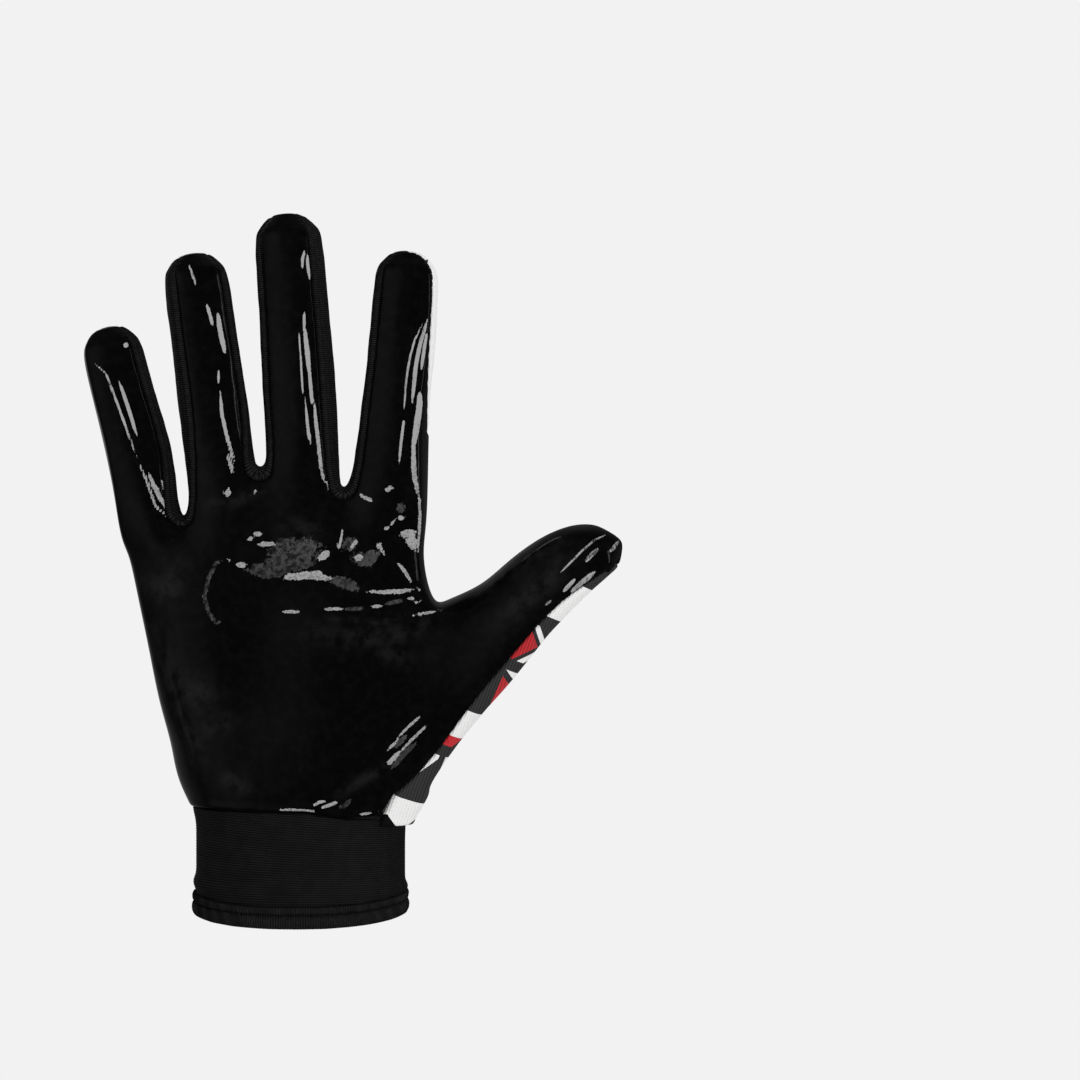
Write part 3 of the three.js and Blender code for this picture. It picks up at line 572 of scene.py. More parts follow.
class Panel:
    """One panel cut out of the surface, with how far each point is from its edge.

    edge is that distance, side says which kind of panel is across the nearest edge (-1 for the
    open wrist), and run is the length along the edge, all in millimetres."""

    def __init__(self, surface, kind):
        mine = surface.kinds == KINDS.index(kind)
        used, local = np.unique(surface.faces[mine], return_inverse=True)
        self.faces = local.reshape(-1, 4)
        self.places = surface.places[used]
        self.normals = surface.normals[used]
        self.digits = np.zeros(len(used), int)
        self.digits[self.faces.ravel()] = np.repeat(surface.digits[mine], 4)
        total = len(surface.places)
        others = {}
        for k in range(len(KINDS)):
            f = surface.faces[surface.kinds == k]
            pairs = np.stack([f, np.roll(f, -1, 1)], 2).reshape(-1, 2)
            others[k] = pairs[:, 0] * total + pairs[:, 1]
        own = others.pop(KINDS.index(kind))
        back = (own % total) * total + own // total
        rim = own[~np.isin(back, own)]
        place = {int(v): i for i, v in enumerate(used)}
        across = np.full(len(rim), -1)
        for k, keys in others.items():
            across[np.isin((rim % total) * total + rim // total, keys)] = k
        follow = {}
        for key, side in zip(rim, across):
            follow[place[int(key // total)]] = (place[int(key % total)], int(side))
        self.loops = []
        left = set(follow)
        while left:
            start = min(left)
            loop, at = [], start
            while at in left:
                left.discard(at)
                loop.append(at)
                at = follow[at][0]
            self.loops.append(loop)
        self.measure_edge(follow)

    def measure_edge(self, follow):
        count = len(self.places)
        starts, ends, sides, runs, lengths = [], [], [], [], []
        for loop in self.loops:
            at = 0.0
            for i in loop:
                j, side = follow[i]
                length = float(np.linalg.norm(self.places[j] - self.places[i]))
                starts.append(i)
                ends.append(j)
                sides.append(side)
                runs.append(at)
                lengths.append(length)
                at += length
        starts, ends, runs, lengths = map(np.array, (starts, ends, runs, lengths))
        order = {int(v): n for n, v in enumerate(starts)}
        before = np.array([order[int(v)] for v in starts])
        for n, v in enumerate(ends):
            before[order[int(v)]] = n
        nearest = nearest_of(self.places, self.places[starts])
        self.edge = np.full(count, 1e9)
        self.run = np.zeros(count)
        self.side = np.zeros(count, int)
        sides = np.array(sides)
        for pick in (nearest, before[nearest]):
            d, share = segment_distance(self.places, self.places[starts[pick]], self.places[ends[pick]])
            closer = d < self.edge
            self.edge[closer] = d[closer]
            self.run[closer] = (runs[pick] + share * lengths[pick])[closer]
            self.side[closer] = sides[pick][closer]

    def lift(self, height):
        self.places = self.places + self.normals * np.asarray(height)[:, None]

    def to_object(self, name, rim_depth, flows, material):
        """Turns the panel into a mesh whose edge is folded in by rim_depth."""
        count = len(self.places)
        places = [self.places]
        faces = [self.faces]
        flow = {key: [values] for key, values in flows.items()}
        for loop in self.loops:
            loop = np.array(loop)
            places.append(self.places[loop] - self.normals[loop] * rim_depth)
            for key, values in flows.items():
                flow[key].append(values[loop])
            low = count + np.arange(len(loop))
            after, low_after = np.roll(loop, -1), np.roll(low, -1)
            faces.append(np.stack([loop, low, low_after, after], 1))
            count += len(loop)
        flow = {key: np.concatenate(parts) for key, parts in flow.items()}
        faces = np.concatenate(faces).tolist()
        return add_piece(name, np.concatenate(places) * MM, faces, material, flow)


def field(places, scale, seed, octaves=2):
    """Smooth noise between about -1 and 1 at points in millimetres; scale has a size per axis."""
    scaled = places / np.array(scale) + seed
    return np.array([noise.fractal(Vector(p), 1.0, 2.0, octaves) for p in scaled])


def roll(edge, depth, width):
    """How far an edge is rolled in: depth at the edge itself, nothing from width on."""
    t = np.clip(1 - edge / width, 0, 1)
    return -depth * (1 - np.sqrt(np.maximum(0, 1 - t * t)))


def bump_line(x, centre, width):
    return np.exp(-(((x - centre) / width) ** 2))


class Nodes:
    """Short forms for making the nodes of a material, the world or the floor."""

    def __init__(self, tree):
        self.nodes = tree.nodes
        self.links = tree.links

    def join(self, source, node, socket):
        target = node.inputs[socket]
        if isinstance(source, (int, float)):
            target.default_value = source
        elif isinstance(source, tuple):
            target.default_value = (*source, 1)
        else:
            self.links.new(source, target)

    def math(self, operation, *values):
        node = self.nodes.new("ShaderNodeMath")
        node.operation = operation
        for i, value in enumerate(values):
            self.join(value, node, i)
        return node.outputs[0]

    def chain(self, operation, first, *more):
        for value in more:
            first = self.math(operation, first, value)
        return first

    def add(self, *values):
        return self.chain("ADD", *values)

    def sub(self, a, b):
        return self.math("SUBTRACT", a, b)

    def mul(self, *values):
        """Product, and of masks the place that is in all of them."""
        return self.chain("MULTIPLY", *values)

    def most(self, *values):
        """Largest value, and of masks the place that is in any of them."""
        return self.chain("MAXIMUM", *values)

    def mul_add(self, a, b, c):
        return self.math("MULTIPLY_ADD", a, b, c)

    def inside(self, value, low, high):
        """Mask that is 1 where the value lies between low and high."""
        return self.mul(self.math("GREATER_THAN", value, low), self.math("LESS_THAN", value, high))

    def vector_math(self, operation, *values):
        node = self.nodes.new("ShaderNodeVectorMath")
        node.operation = operation
        for i, value in enumerate(values):
            self.links.new(value, node.inputs[i])
        return node

    def attribute(self, name):
        node = self.nodes.new("ShaderNodeAttribute")
        node.attribute_name = name
        return node.outputs["Fac"]

    def place(self):
        """The point's x, y and z in millimetres."""
        coordinates = self.nodes.new("ShaderNodeTexCoord")
        scaled = self.vector_math("SCALE", coordinates.outputs["Object"])
        scaled.inputs["Scale"].default_value = 1 / MM
        split = self.nodes.new("ShaderNodeSeparateXYZ")
        self.links.new(scaled.outputs[0], split.inputs[0])
        return scaled.outputs[0], *split.outputs[:3]

    def vector(self, x, y, z):
        node = self.nodes.new("ShaderNodeCombineXYZ")
        for i, value in enumerate((x, y, z)):
            self.join(value, node, i)
        return node.outputs[0]

    def noise(self, vector, scale, detail=2.0, roughness=0.5):
        node = self.nodes.new("ShaderNodeTexNoise")
        self.links.new(vector, node.inputs["Vector"])
        node.inputs["Scale"].default_value = scale
        node.inputs["Detail"].default_value = detail
        node.inputs["Roughness"].default_value = roughness
        return node.outputs["Fac"]

    def blend(self, share, a, b):
        """Colour between a and b."""
        node = self.nodes.new("ShaderNodeMix")
        node.data_type = "RGBA"
        self.join(share, node, 0)
        self.join(a, node, 6)
        self.join(b, node, 7)
        return node.outputs[2]

    def range(self, value, low, high, to_low=0.0, to_high=1.0):
        node = self.nodes.new("ShaderNodeMapRange")
        node.interpolation_type = "SMOOTHSTEP"
        for i, v in enumerate((value, low, high, to_low, to_high)):
            self.join(v, node, i)
        return node.outputs[0]

    def wave(self, value, pitch):
        """A ridge and a groove for each pitch of value, between 0 and 1."""
        turn = self.mul(value, 2 * math.pi / pitch)
        return self.mul_add(self.math("SINE", turn), 0.5, 0.5)

    def bump(self, height, depth, before=None):
        """Bump of a height between 0 and 1 that stands depth millimetres proud."""
        node = self.nodes.new("ShaderNodeBump")
        node.inputs["Strength"].default_value = 1
        node.inputs["Distance"].default_value = depth * MM
        self.links.new(height, node.inputs["Height"])
        if before is not None:
            self.links.new(before, node.inputs["Normal"])
        return node.outputs[0]

    def facing_y(self):
        """The y part of the surface's normal."""
        normal = self.nodes.new("ShaderNodeNewGeometry").outputs["Normal"]
        split = self.nodes.new("ShaderNodeSeparateXYZ")
        self.links.new(normal, split.inputs[0])
        return split.outputs[1]

    def turned_normal(self, slope_x, slope_z):
        """The surface's normal, turned towards +X and +Z by slopes."""
        normal = self.nodes.new("ShaderNodeNewGeometry").outputs["Normal"]
        turned = self.vector_math("ADD", normal, self.vector(slope_x, 0.0, slope_z))
        return self.vector_math("NORMALIZE", turned.outputs[0]).outputs[0]

    def wave_round(self, x, y, count, stretch):
        """Ridges and grooves round the z axis, between 0 and 1; stretch makes the section round."""
        angle = self.math("ARCTAN2", self.mul(y, stretch), x)
        return self.mul_add(self.math("SINE", self.mul(angle, count)), 0.5, 0.5)


# Numbers that are the same all over are set on the shader's own sockets.
class Graph(Nodes):
    """The nodes of one material, round its shader."""

    def __init__(self, name):
        self.material = bpy.data.materials.new(name)
        self.material.use_nodes = True
        super().__init__(self.material.node_tree)
        self.nodes.clear()
        self.shader = self.nodes.new("ShaderNodeBsdfPrincipled")
        output = self.nodes.new("ShaderNodeOutputMaterial")
        self.links.new(self.shader.outputs[0], output.inputs["Surface"])

    def set(self, **values):
        for key, value in values.items():
            self.shader.inputs[key.replace("_", " ")].default_value = value

    def finish(self, color, roughness, normal):
        for source, socket in ((color, "Base Color"), (roughness, "Roughness"), (normal, "Normal")):
            if source is not None:
                self.links.new(source, self.shader.inputs[socket])
        return self.material


BLACK_FILM = (0.0012, 0.0012, 0.0013)
# How far, in slope, the film turns away from the strip light outside the places that mirror it,
# and from how near.
CALM = 0.17
CALM_REACH = 0.13
PRINT_GREY = (0.034, 0.034, 0.035)
PRINT_WHITE = (0.82, 0.82, 0.815)
PRINT_RED = (0.52, 0.022, 0.028)
BLACK_KNIT = (0.0009, 0.0009, 0.001)


def film_material():
    """The palm's glossy grip film: near black, with strands along the fingers, ragged dents and a painted
    sheen in places.
    """
    g = Graph("palm_film")
    where = g.place()[0]
    g.set(IOR=1.5, Specular_IOR_Level=0.5)
    strand = g.attribute("strand")
    ragged = g.sub(g.noise(where, 0.9, 4.0, 0.65), 0.5)
    edge_noise = g.mul(ragged, g.mul_add(strand, -0.65, 1.0))
    dent = g.range(g.add(g.attribute("dent"), edge_noise), 0.42, 0.5)
    matte = g.range(g.add(g.attribute("matte"), edge_noise), 0.3, 0.55)
    mottled = g.range(g.noise(where, 0.6, 5.0, 0.75), 0.36, 0.62, 0.0, 1.1)
    turned = g.most(dent, g.mul(matte, mottled))
    turn = g.attribute("turn")
    near = g.math("EXPONENT", g.mul(g.mul(turn, turn), -1 / CALM_REACH**2))
    away = g.mul(g.mul(g.math("SIGN", turn), -CALM), near)
    calm = g.mul(away, g.sub(1.0, turned))
    sideways = g.mul_add(turned, turn, calm)
    base = g.turned_normal(sideways, g.mul(turned, g.attribute("tip")))
    dull = g.mul(matte, g.sub(1.0, dent))
    smooth_rough = g.range(g.noise(where, 0.09, 3.0), 0.3, 0.7, 0.06, 0.1)
    speckle = g.range(g.noise(where, 1.7, 3.0, 0.6), 0.42, 0.6, 0.0, 0.13)
    speckled = g.mul(g.mul(dent, speckle), g.sub(1.0, strand))
    rough = g.add(g.mul_add(dull, 0.36, smooth_rough), speckled)
    grain = g.vector(
        g.mul(g.attribute("across"), 0.36), g.mul(g.attribute("along"), 0.035), 0.0
    )
    strands = g.mul(g.noise(grain, 1.0, 1.0, 0.4), strand)
    normal = g.bump(strands, 0.08, base)
    normal = g.bump(g.noise(where, 0.3, 2.0, 0.5), 0.05, normal)
    normal = g.bump(g.noise(where, 1.6, 2.0, 0.5), 0.006, normal)
    color = g.blend(g.range(g.noise(where, 0.35, 3.0), 0.35, 0.8), BLACK_FILM, (0.0028, 0.0028, 0.003))
    # Lighter colour along the listed paths: a painted sheen, standing in for soft reflections on the glossy
    # film.
    painted_sheen = g.mul(g.attribute("painted_sheen"), g.range(g.noise(where, 0.2, 4.0, 0.6), 0.35, 0.65))
    color = g.blend(painted_sheen, color, (0.0095, 0.0095, 0.01))
    return g.finish(color, rough, normal)


def rib_material(name, pitch, depth):
    """Black ribbed knit: ribs across the strip at a pitch along it, and the stitches in them."""
    g = Graph(name)
    g.set(IOR=1.45, Specular_IOR_Level=0.2, Roughness=0.7)
    where = g.place()[0]
    along = g.mul_add(g.noise(where, 0.3, 2.0), 0.6, g.attribute("along"))
    rib = g.wave(along, pitch)
    patchy_rib_light = g.range(g.noise(where, 0.5, 4.0), 0.25, 0.75, 0.45, 1.0)
    # The rib crests are painted lighter and the grooves darker: painted light and shade on the ribs, made
    # patchy by noise.
    painted_rib_light = g.blend(g.mul(rib, patchy_rib_light), BLACK_KNIT, (0.019, 0.019, 0.0195))
    normal = g.bump(rib, depth)
    normal = g.bump(g.noise(where, 3.0, 2.0), 0.05, normal)
    return g.finish(painted_rib_light, None, normal)


# The print's slanted rows and blocks, in millimetres and degrees.
PRINT_SLANT = -24
PRINT_ROW = 17.0
PRINT_BLOCK = 24.0
# Share of a block by which each row is shifted from the one below it.
PRINT_SHIFT = 0.382
# How much of a row's height is printed, up and down from its middle.
PRINT_HALF = 6.6
# Random numbers from and to which a block is of the first, second, third or fourth kind.
PRINT_PICKS = ((0, 0.3), (0.3, 0.55), (0.55, 0.78), (0.78, 1))


def print_pattern(g, x, y, z, around):
    """Generic print in slanted rows: blocks, chevrons and stripes in grey, white and red.

    x, y and z are the true place, and around is x unrolled over the sides. Returns the white
    mask and the colour."""
    slant = math.radians(PRINT_SLANT)
    c, s = math.cos(slant), math.sin(slant)
    u = g.add(g.mul(around, c), g.mul(z, s))
    v = g.sub(g.mul(z, c), g.mul(around, s))
    row = g.math("FLOOR", g.math("DIVIDE", v, PRINT_ROW))
    shift = g.mul(g.math("FRACT", g.mul(row, PRINT_SHIFT)), PRINT_BLOCK)
    u = g.add(u, shift)
    column = g.math("FLOOR", g.math("DIVIDE", u, PRINT_BLOCK))
    in_block = g.sub(u, g.mul(column, PRINT_BLOCK))
    across = g.sub(in_block, PRINT_BLOCK / 2)
    in_row = g.sub(v, g.mul(row, PRINT_ROW))
    up = g.sub(in_row, PRINT_ROW / 2)
    pick_node = g.nodes.new("ShaderNodeTexWhiteNoise")
    pick_node.noise_dimensions = "3D"
    g.links.new(g.vector(column, row, 5.0), pick_node.inputs["Vector"])
    pick = pick_node.outputs["Value"]

    lean = g.mul_add(up, -0.6, across)
    arrow = g.mul_add(g.math("ABSOLUTE", up), 0.9, across)
    cut = g.mul_add(across, 0.7, up)
    tall = g.inside(up, -PRINT_HALF, PRINT_HALF)
    past = g.mul_add(z, -0.02, x)
    # The plain white band up the index finger's thumb side.
    band = g.mul(g.inside(past, 37.4, 80.0), g.inside(z, 144.0, 240.0), g.math("LESS_THAN", y, 3.0))
    first, second, third, fourth = (g.inside(pick, a, b) for a, b in PRINT_PICKS)
    white = g.most(
        g.mul(g.inside(lean, -9.5, 3.5), tall, first),
        g.mul(g.inside(lean, 6.4, 8.8), tall, g.most(first, fourth)),
        g.mul(g.most(g.inside(arrow, -5.0, -0.6), g.inside(arrow, 7.6, 9.8)), tall, second),
        g.mul(
            g.inside(across, -10, 10),
            g.most(g.inside(up, -PRINT_HALF, -2.6), g.inside(up, 1.6, PRINT_HALF)),
            third,
        ),
        g.mul(g.inside(across, -9.5, 4.5), g.math("GREATER_THAN", cut, 0.0), tall, fourth),
        band,
    )
    red = g.most(
        g.mul(g.inside(arrow, 1.2, 6.0), tall, second),
        g.mul(g.inside(lean, -9.5, 3.5), g.inside(up, -PRINT_HALF, -3.0), g.inside(pick, 0.16, 0.3)),
        g.mul(g.inside(across, -9.5, 4.5), g.math("LESS_THAN", cut, -2.4), tall, g.inside(pick, 0.88, 1.0)),
    )
    red = g.mul(red, g.sub(1.0, band))
    # Bare grey over the thumb's web, and the film's black corner at the wrist.
    over_thumb = g.inside(g.mul_add(x, -0.62, z), 64.0, 140.0)
    margin = g.mul(g.inside(x, 33.0, 90.0), g.inside(z, 96.0, 140.0), over_thumb)
    plain = g.sub(1.0, margin)
    below_corner = g.math("LESS_THAN", g.mul_add(z, 0.6, x), 49.3)
    corner = g.mul(g.inside(z, 20.0, 33.6), below_corner, g.math("LESS_THAN", y, 0.0))
    white, red = g.mul(white, plain), g.mul(red, plain)
    color = g.blend(red, g.blend(white, PRINT_GREY, PRINT_WHITE), PRINT_RED)
    return white, g.blend(corner, color, BLACK_FILM)


# How the print is unrolled over the glove's sides: where in x it is fully so, from which y on,
# over how much depth, and by which share of that depth.
UNROLL_X = 48.0
UNROLL_FROM = -4.0
UNROLL_DEPTH = 14.0
UNROLL_SHARE = 0.8
WALE_SLOPE = 20
WALE_PITCH = 0.95
STITCH_ROW = 0.7


def print_material():
    """Stretch fabric of the back, with fine wales leaning to the right and the print on them."""
    g = Graph("back_print")
    g.set(IOR=1.45, Specular_IOR_Level=0.25, Roughness=0.75)
    where, x, y, z = g.place()
    side = g.range(x, -UNROLL_X, UNROLL_X, -1.0, 1.0)
    behind = g.most(g.add(y, -UNROLL_FROM), 0.0)
    behind = g.math("MINIMUM", behind, UNROLL_DEPTH)
    unrolled = g.mul(g.mul(behind, UNROLL_SHARE), side)
    around = g.sub(x, unrolled)
    slope = math.radians(WALE_SLOPE)
    risen = g.mul(z, math.sin(slope))
    across = g.sub(g.mul(around, math.cos(slope)), risen)
    # On steep sides the wales would show as contour lines, so they fade out there.
    flat = g.range(g.math("ABSOLUTE", g.facing_y()), 0.12, 0.4)
    hollow = g.sub(1.0, g.wave(across, WALE_PITCH))
    wale = g.sub(1.0, g.mul(hollow, flat))
    white, color = print_pattern(g, x, y, z, around)
    # Darker in the wale grooves, less so on the white: painted shade in the grooves.
    groove = g.range(wale, 0.0, 0.5, 1.0, 0.0)
    painted_groove_shade = g.mul(groove, g.mul_add(white, -0.42, 0.5))
    color = g.blend(painted_groove_shade, color, (0.0, 0.0, 0.0))
    stitch = g.wave(z, STITCH_ROW)
    normal = g.bump(wale, 0.13)
    normal = g.bump(stitch, 0.04, normal)
    normal = g.bump(g.noise(where, 2.5, 2.0), 0.03, normal)
    return g.finish(color, None, normal)


def lining_material():
    """Plain dark knit of the inside."""
    g = Graph("lining_knit")
    g.set(Roughness=0.85, Specular_IOR_Level=0.2)
    where, x, _, z = g.place()
    loops = g.mul(g.wave(x, 0.9), g.wave(z, STITCH_ROW))
    color = g.blend(loops, (0.006, 0.006, 0.0065), (0.02, 0.02, 0.021))
    return g.finish(color, None, g.bump(loops, 0.15))


# Stage, light and camera. A pixel of the photograph is PIXEL millimetres in the plane y = 0, and
# the origin lies at ORIGIN_PIXEL.
PIXEL = 0.325
ORIGIN_PIXEL = (301, 912)
PHOTO_SIDE = 1080
CAMERA_DISTANCE = 800
CAMERA_X = (PHOTO_SIDE / 2 - ORIGIN_PIXEL[0]) * PIXEL
CAMERA_Z = (ORIGIN_PIXEL[1] - PHOTO_SIDE / 2) * PIXEL
CAMERA_PLACE = np.array((CAMERA_X, -CAMERA_DISTANCE, CAMERA_Z))
SENSOR = 36.0
PALE = (0.888, 0.888, 0.888, 1)
# The floor lies well below the glove, in metres.
FLOOR_HALF = 3.0
FLOOR_LOW = -0.3


def make_camera():
    data = bpy.data.cameras.new("camera")
    data.sensor_width = SENSOR
    data.lens = SENSOR * CAMERA_DISTANCE / (PHOTO_SIDE * PIXEL)
    camera = bpy.data.objects.new("camera", data)
    camera.location = CAMERA_PLACE * MM
    camera.rotation_euler = (math.pi / 2, 0, 0)
    bpy.context.scene.collection.objects.link(camera)
    bpy.context.scene.camera = camera


# Soft light that only reflections show: azimuth, elevation, how narrow it is, and strength.
GLOWS = (
    (-142, 0, 8, 0.3),
    (112, 5, 7, 0.09),
    (180, 45, 4, 0.12),
    (-48, 8, 6, 0.12),
)
GLOSSY_BASE = 0.012
LIT = 0.85


def direction(azimuth, elevation):
    """Unit vector as seen from the glove: 0 is the camera's side, turning to +X is positive."""
    a, e = math.radians(azimuth), math.radians(elevation)
    return Vector((math.sin(a) * math.cos(e), -math.cos(a) * math.cos(e), math.sin(e)))


def pale_strength(tree):
    """Pale to the camera, plain light on the glove, and soft glows to its reflections."""
    g = Nodes(tree)
    place = g.nodes.new("ShaderNodeNewGeometry").outputs["Position"]
    way = g.vector_math("NORMALIZE", place).outputs[0]
    glow = GLOSSY_BASE
    for azimuth, elevation, power, strength in GLOWS:
        dot = g.vector_math("DOT_PRODUCT", way)
        dot.inputs[1].default_value = direction(azimuth, elevation)
        near = g.math("POWER", g.most(dot.outputs["Value"], 0.0), power)
        glow = g.mul_add(near, strength, glow)
    rays = g.nodes.new("ShaderNodeLightPath").outputs

    def choose(ray, otherwise, value):
        node = g.nodes.new("ShaderNodeMix")
        g.join(rays[ray], node, 0)
        g.join(otherwise, node, 2)
        g.join(value, node, 3)
        return node.outputs[0]

    return choose("Is Camera Ray", choose("Is Glossy Ray", LIT, glow), 1.0)


def make_world():
    world = bpy.data.worlds.new("studio")
    bpy.context.scene.world = world
    world.use_nodes = True
    tree = world.node_tree
    background = tree.nodes["Background"]
    background.inputs["Color"].default_value = PALE
    tree.links.new(pale_strength(tree), background.inputs["Strength"])


def make_floor():
    """A pale floor well below the glove, which is held up at its wrist."""
    mesh = bpy.data.meshes.new("floor")
    signs = ((-1, -1), (1, -1), (1, 1), (-1, 1))
    corners = [(a * FLOOR_HALF, b * FLOOR_HALF, FLOOR_LOW) for a, b in signs]
    mesh.from_pydata(corners, [], [(0, 1, 2, 3)])
    material = bpy.data.materials.new("pale_floor")
    material.use_nodes = True
    tree = material.node_tree
    tree.nodes.clear()
    output = tree.nodes.new("ShaderNodeOutputMaterial")
    emission = tree.nodes.new("ShaderNodeEmission")
    emission.inputs["Color"].default_value = PALE
    tree.links.new(pale_strength(tree), emission.inputs["Strength"])
    tree.links.new(emission.outputs[0], output.inputs["Surface"])
    mesh.materials.append(material)
    add_object("floor", mesh)


GLOVE_MIDDLE = Vector((0.0, 0.0, 0.12))
# Soft boxes: name, azimuth and elevation as seen from the glove (0 is the camera's side, and
# turning to +X is positive), distance, width, height and brightness.
SOFT_BOXES = (
    ("strip_right", 34, 4, 1.3, 0.18, 1.5, 9.0),
    ("strip_far_right", 72, 0, 1.3, 0.07, 1.0, 1.2),
)


def make_lights():
    for name, azimuth, elevation, distance, width, height, brightness in SOFT_BOXES:
        data = bpy.data.lights.new(name, "AREA")
        data.shape = "RECTANGLE"
        data.size, data.size_y = width, height
        data.energy = brightness * math.pi * width * height
        light = bpy.data.objects.new(name, data)
        way = direction(azimuth, elevation)
        light.location = GLOVE_MIDDLE + way * distance
        light.rotation_euler = way.to_track_quat("Z", "Y").to_euler()
        light.visible_camera = False
        bpy.context.scene.collection.objects.link(light)


# The tables of the palm film give x and z as the photograph shows them in the plane y = 0.
# Creases, as paths with a width and a height in millimetres.
CREASES = (
    (((2, 92), (12, 95), (25, 94), (38, 90.5), (45, 91.5)), 2.2, 0.2),
    (((3, 88.5), (15, 86), (30, 86.5), (40, 88.5)), 2.0, 0.15),
    (((-49.6, 98.5), (-47.2, 94), (-44.3, 80.2), (-40, 63.5), (-37.1, 55.5), (-33.8, 43.9)), 1.3, -0.3),
)
# Rumpled patches of the palm: x, z, spread across and up, size of the rumples, and height.
RUMPLES = (
    (-4, 115, 16, 9, 3.6, 0.16),
    (22, 118, 12, 10, 4.5, 0.2),
    (30, 96, 18, 8, 6.0, 0.15),
    (36, 56, 12, 12, 5.0, 0.12),
)
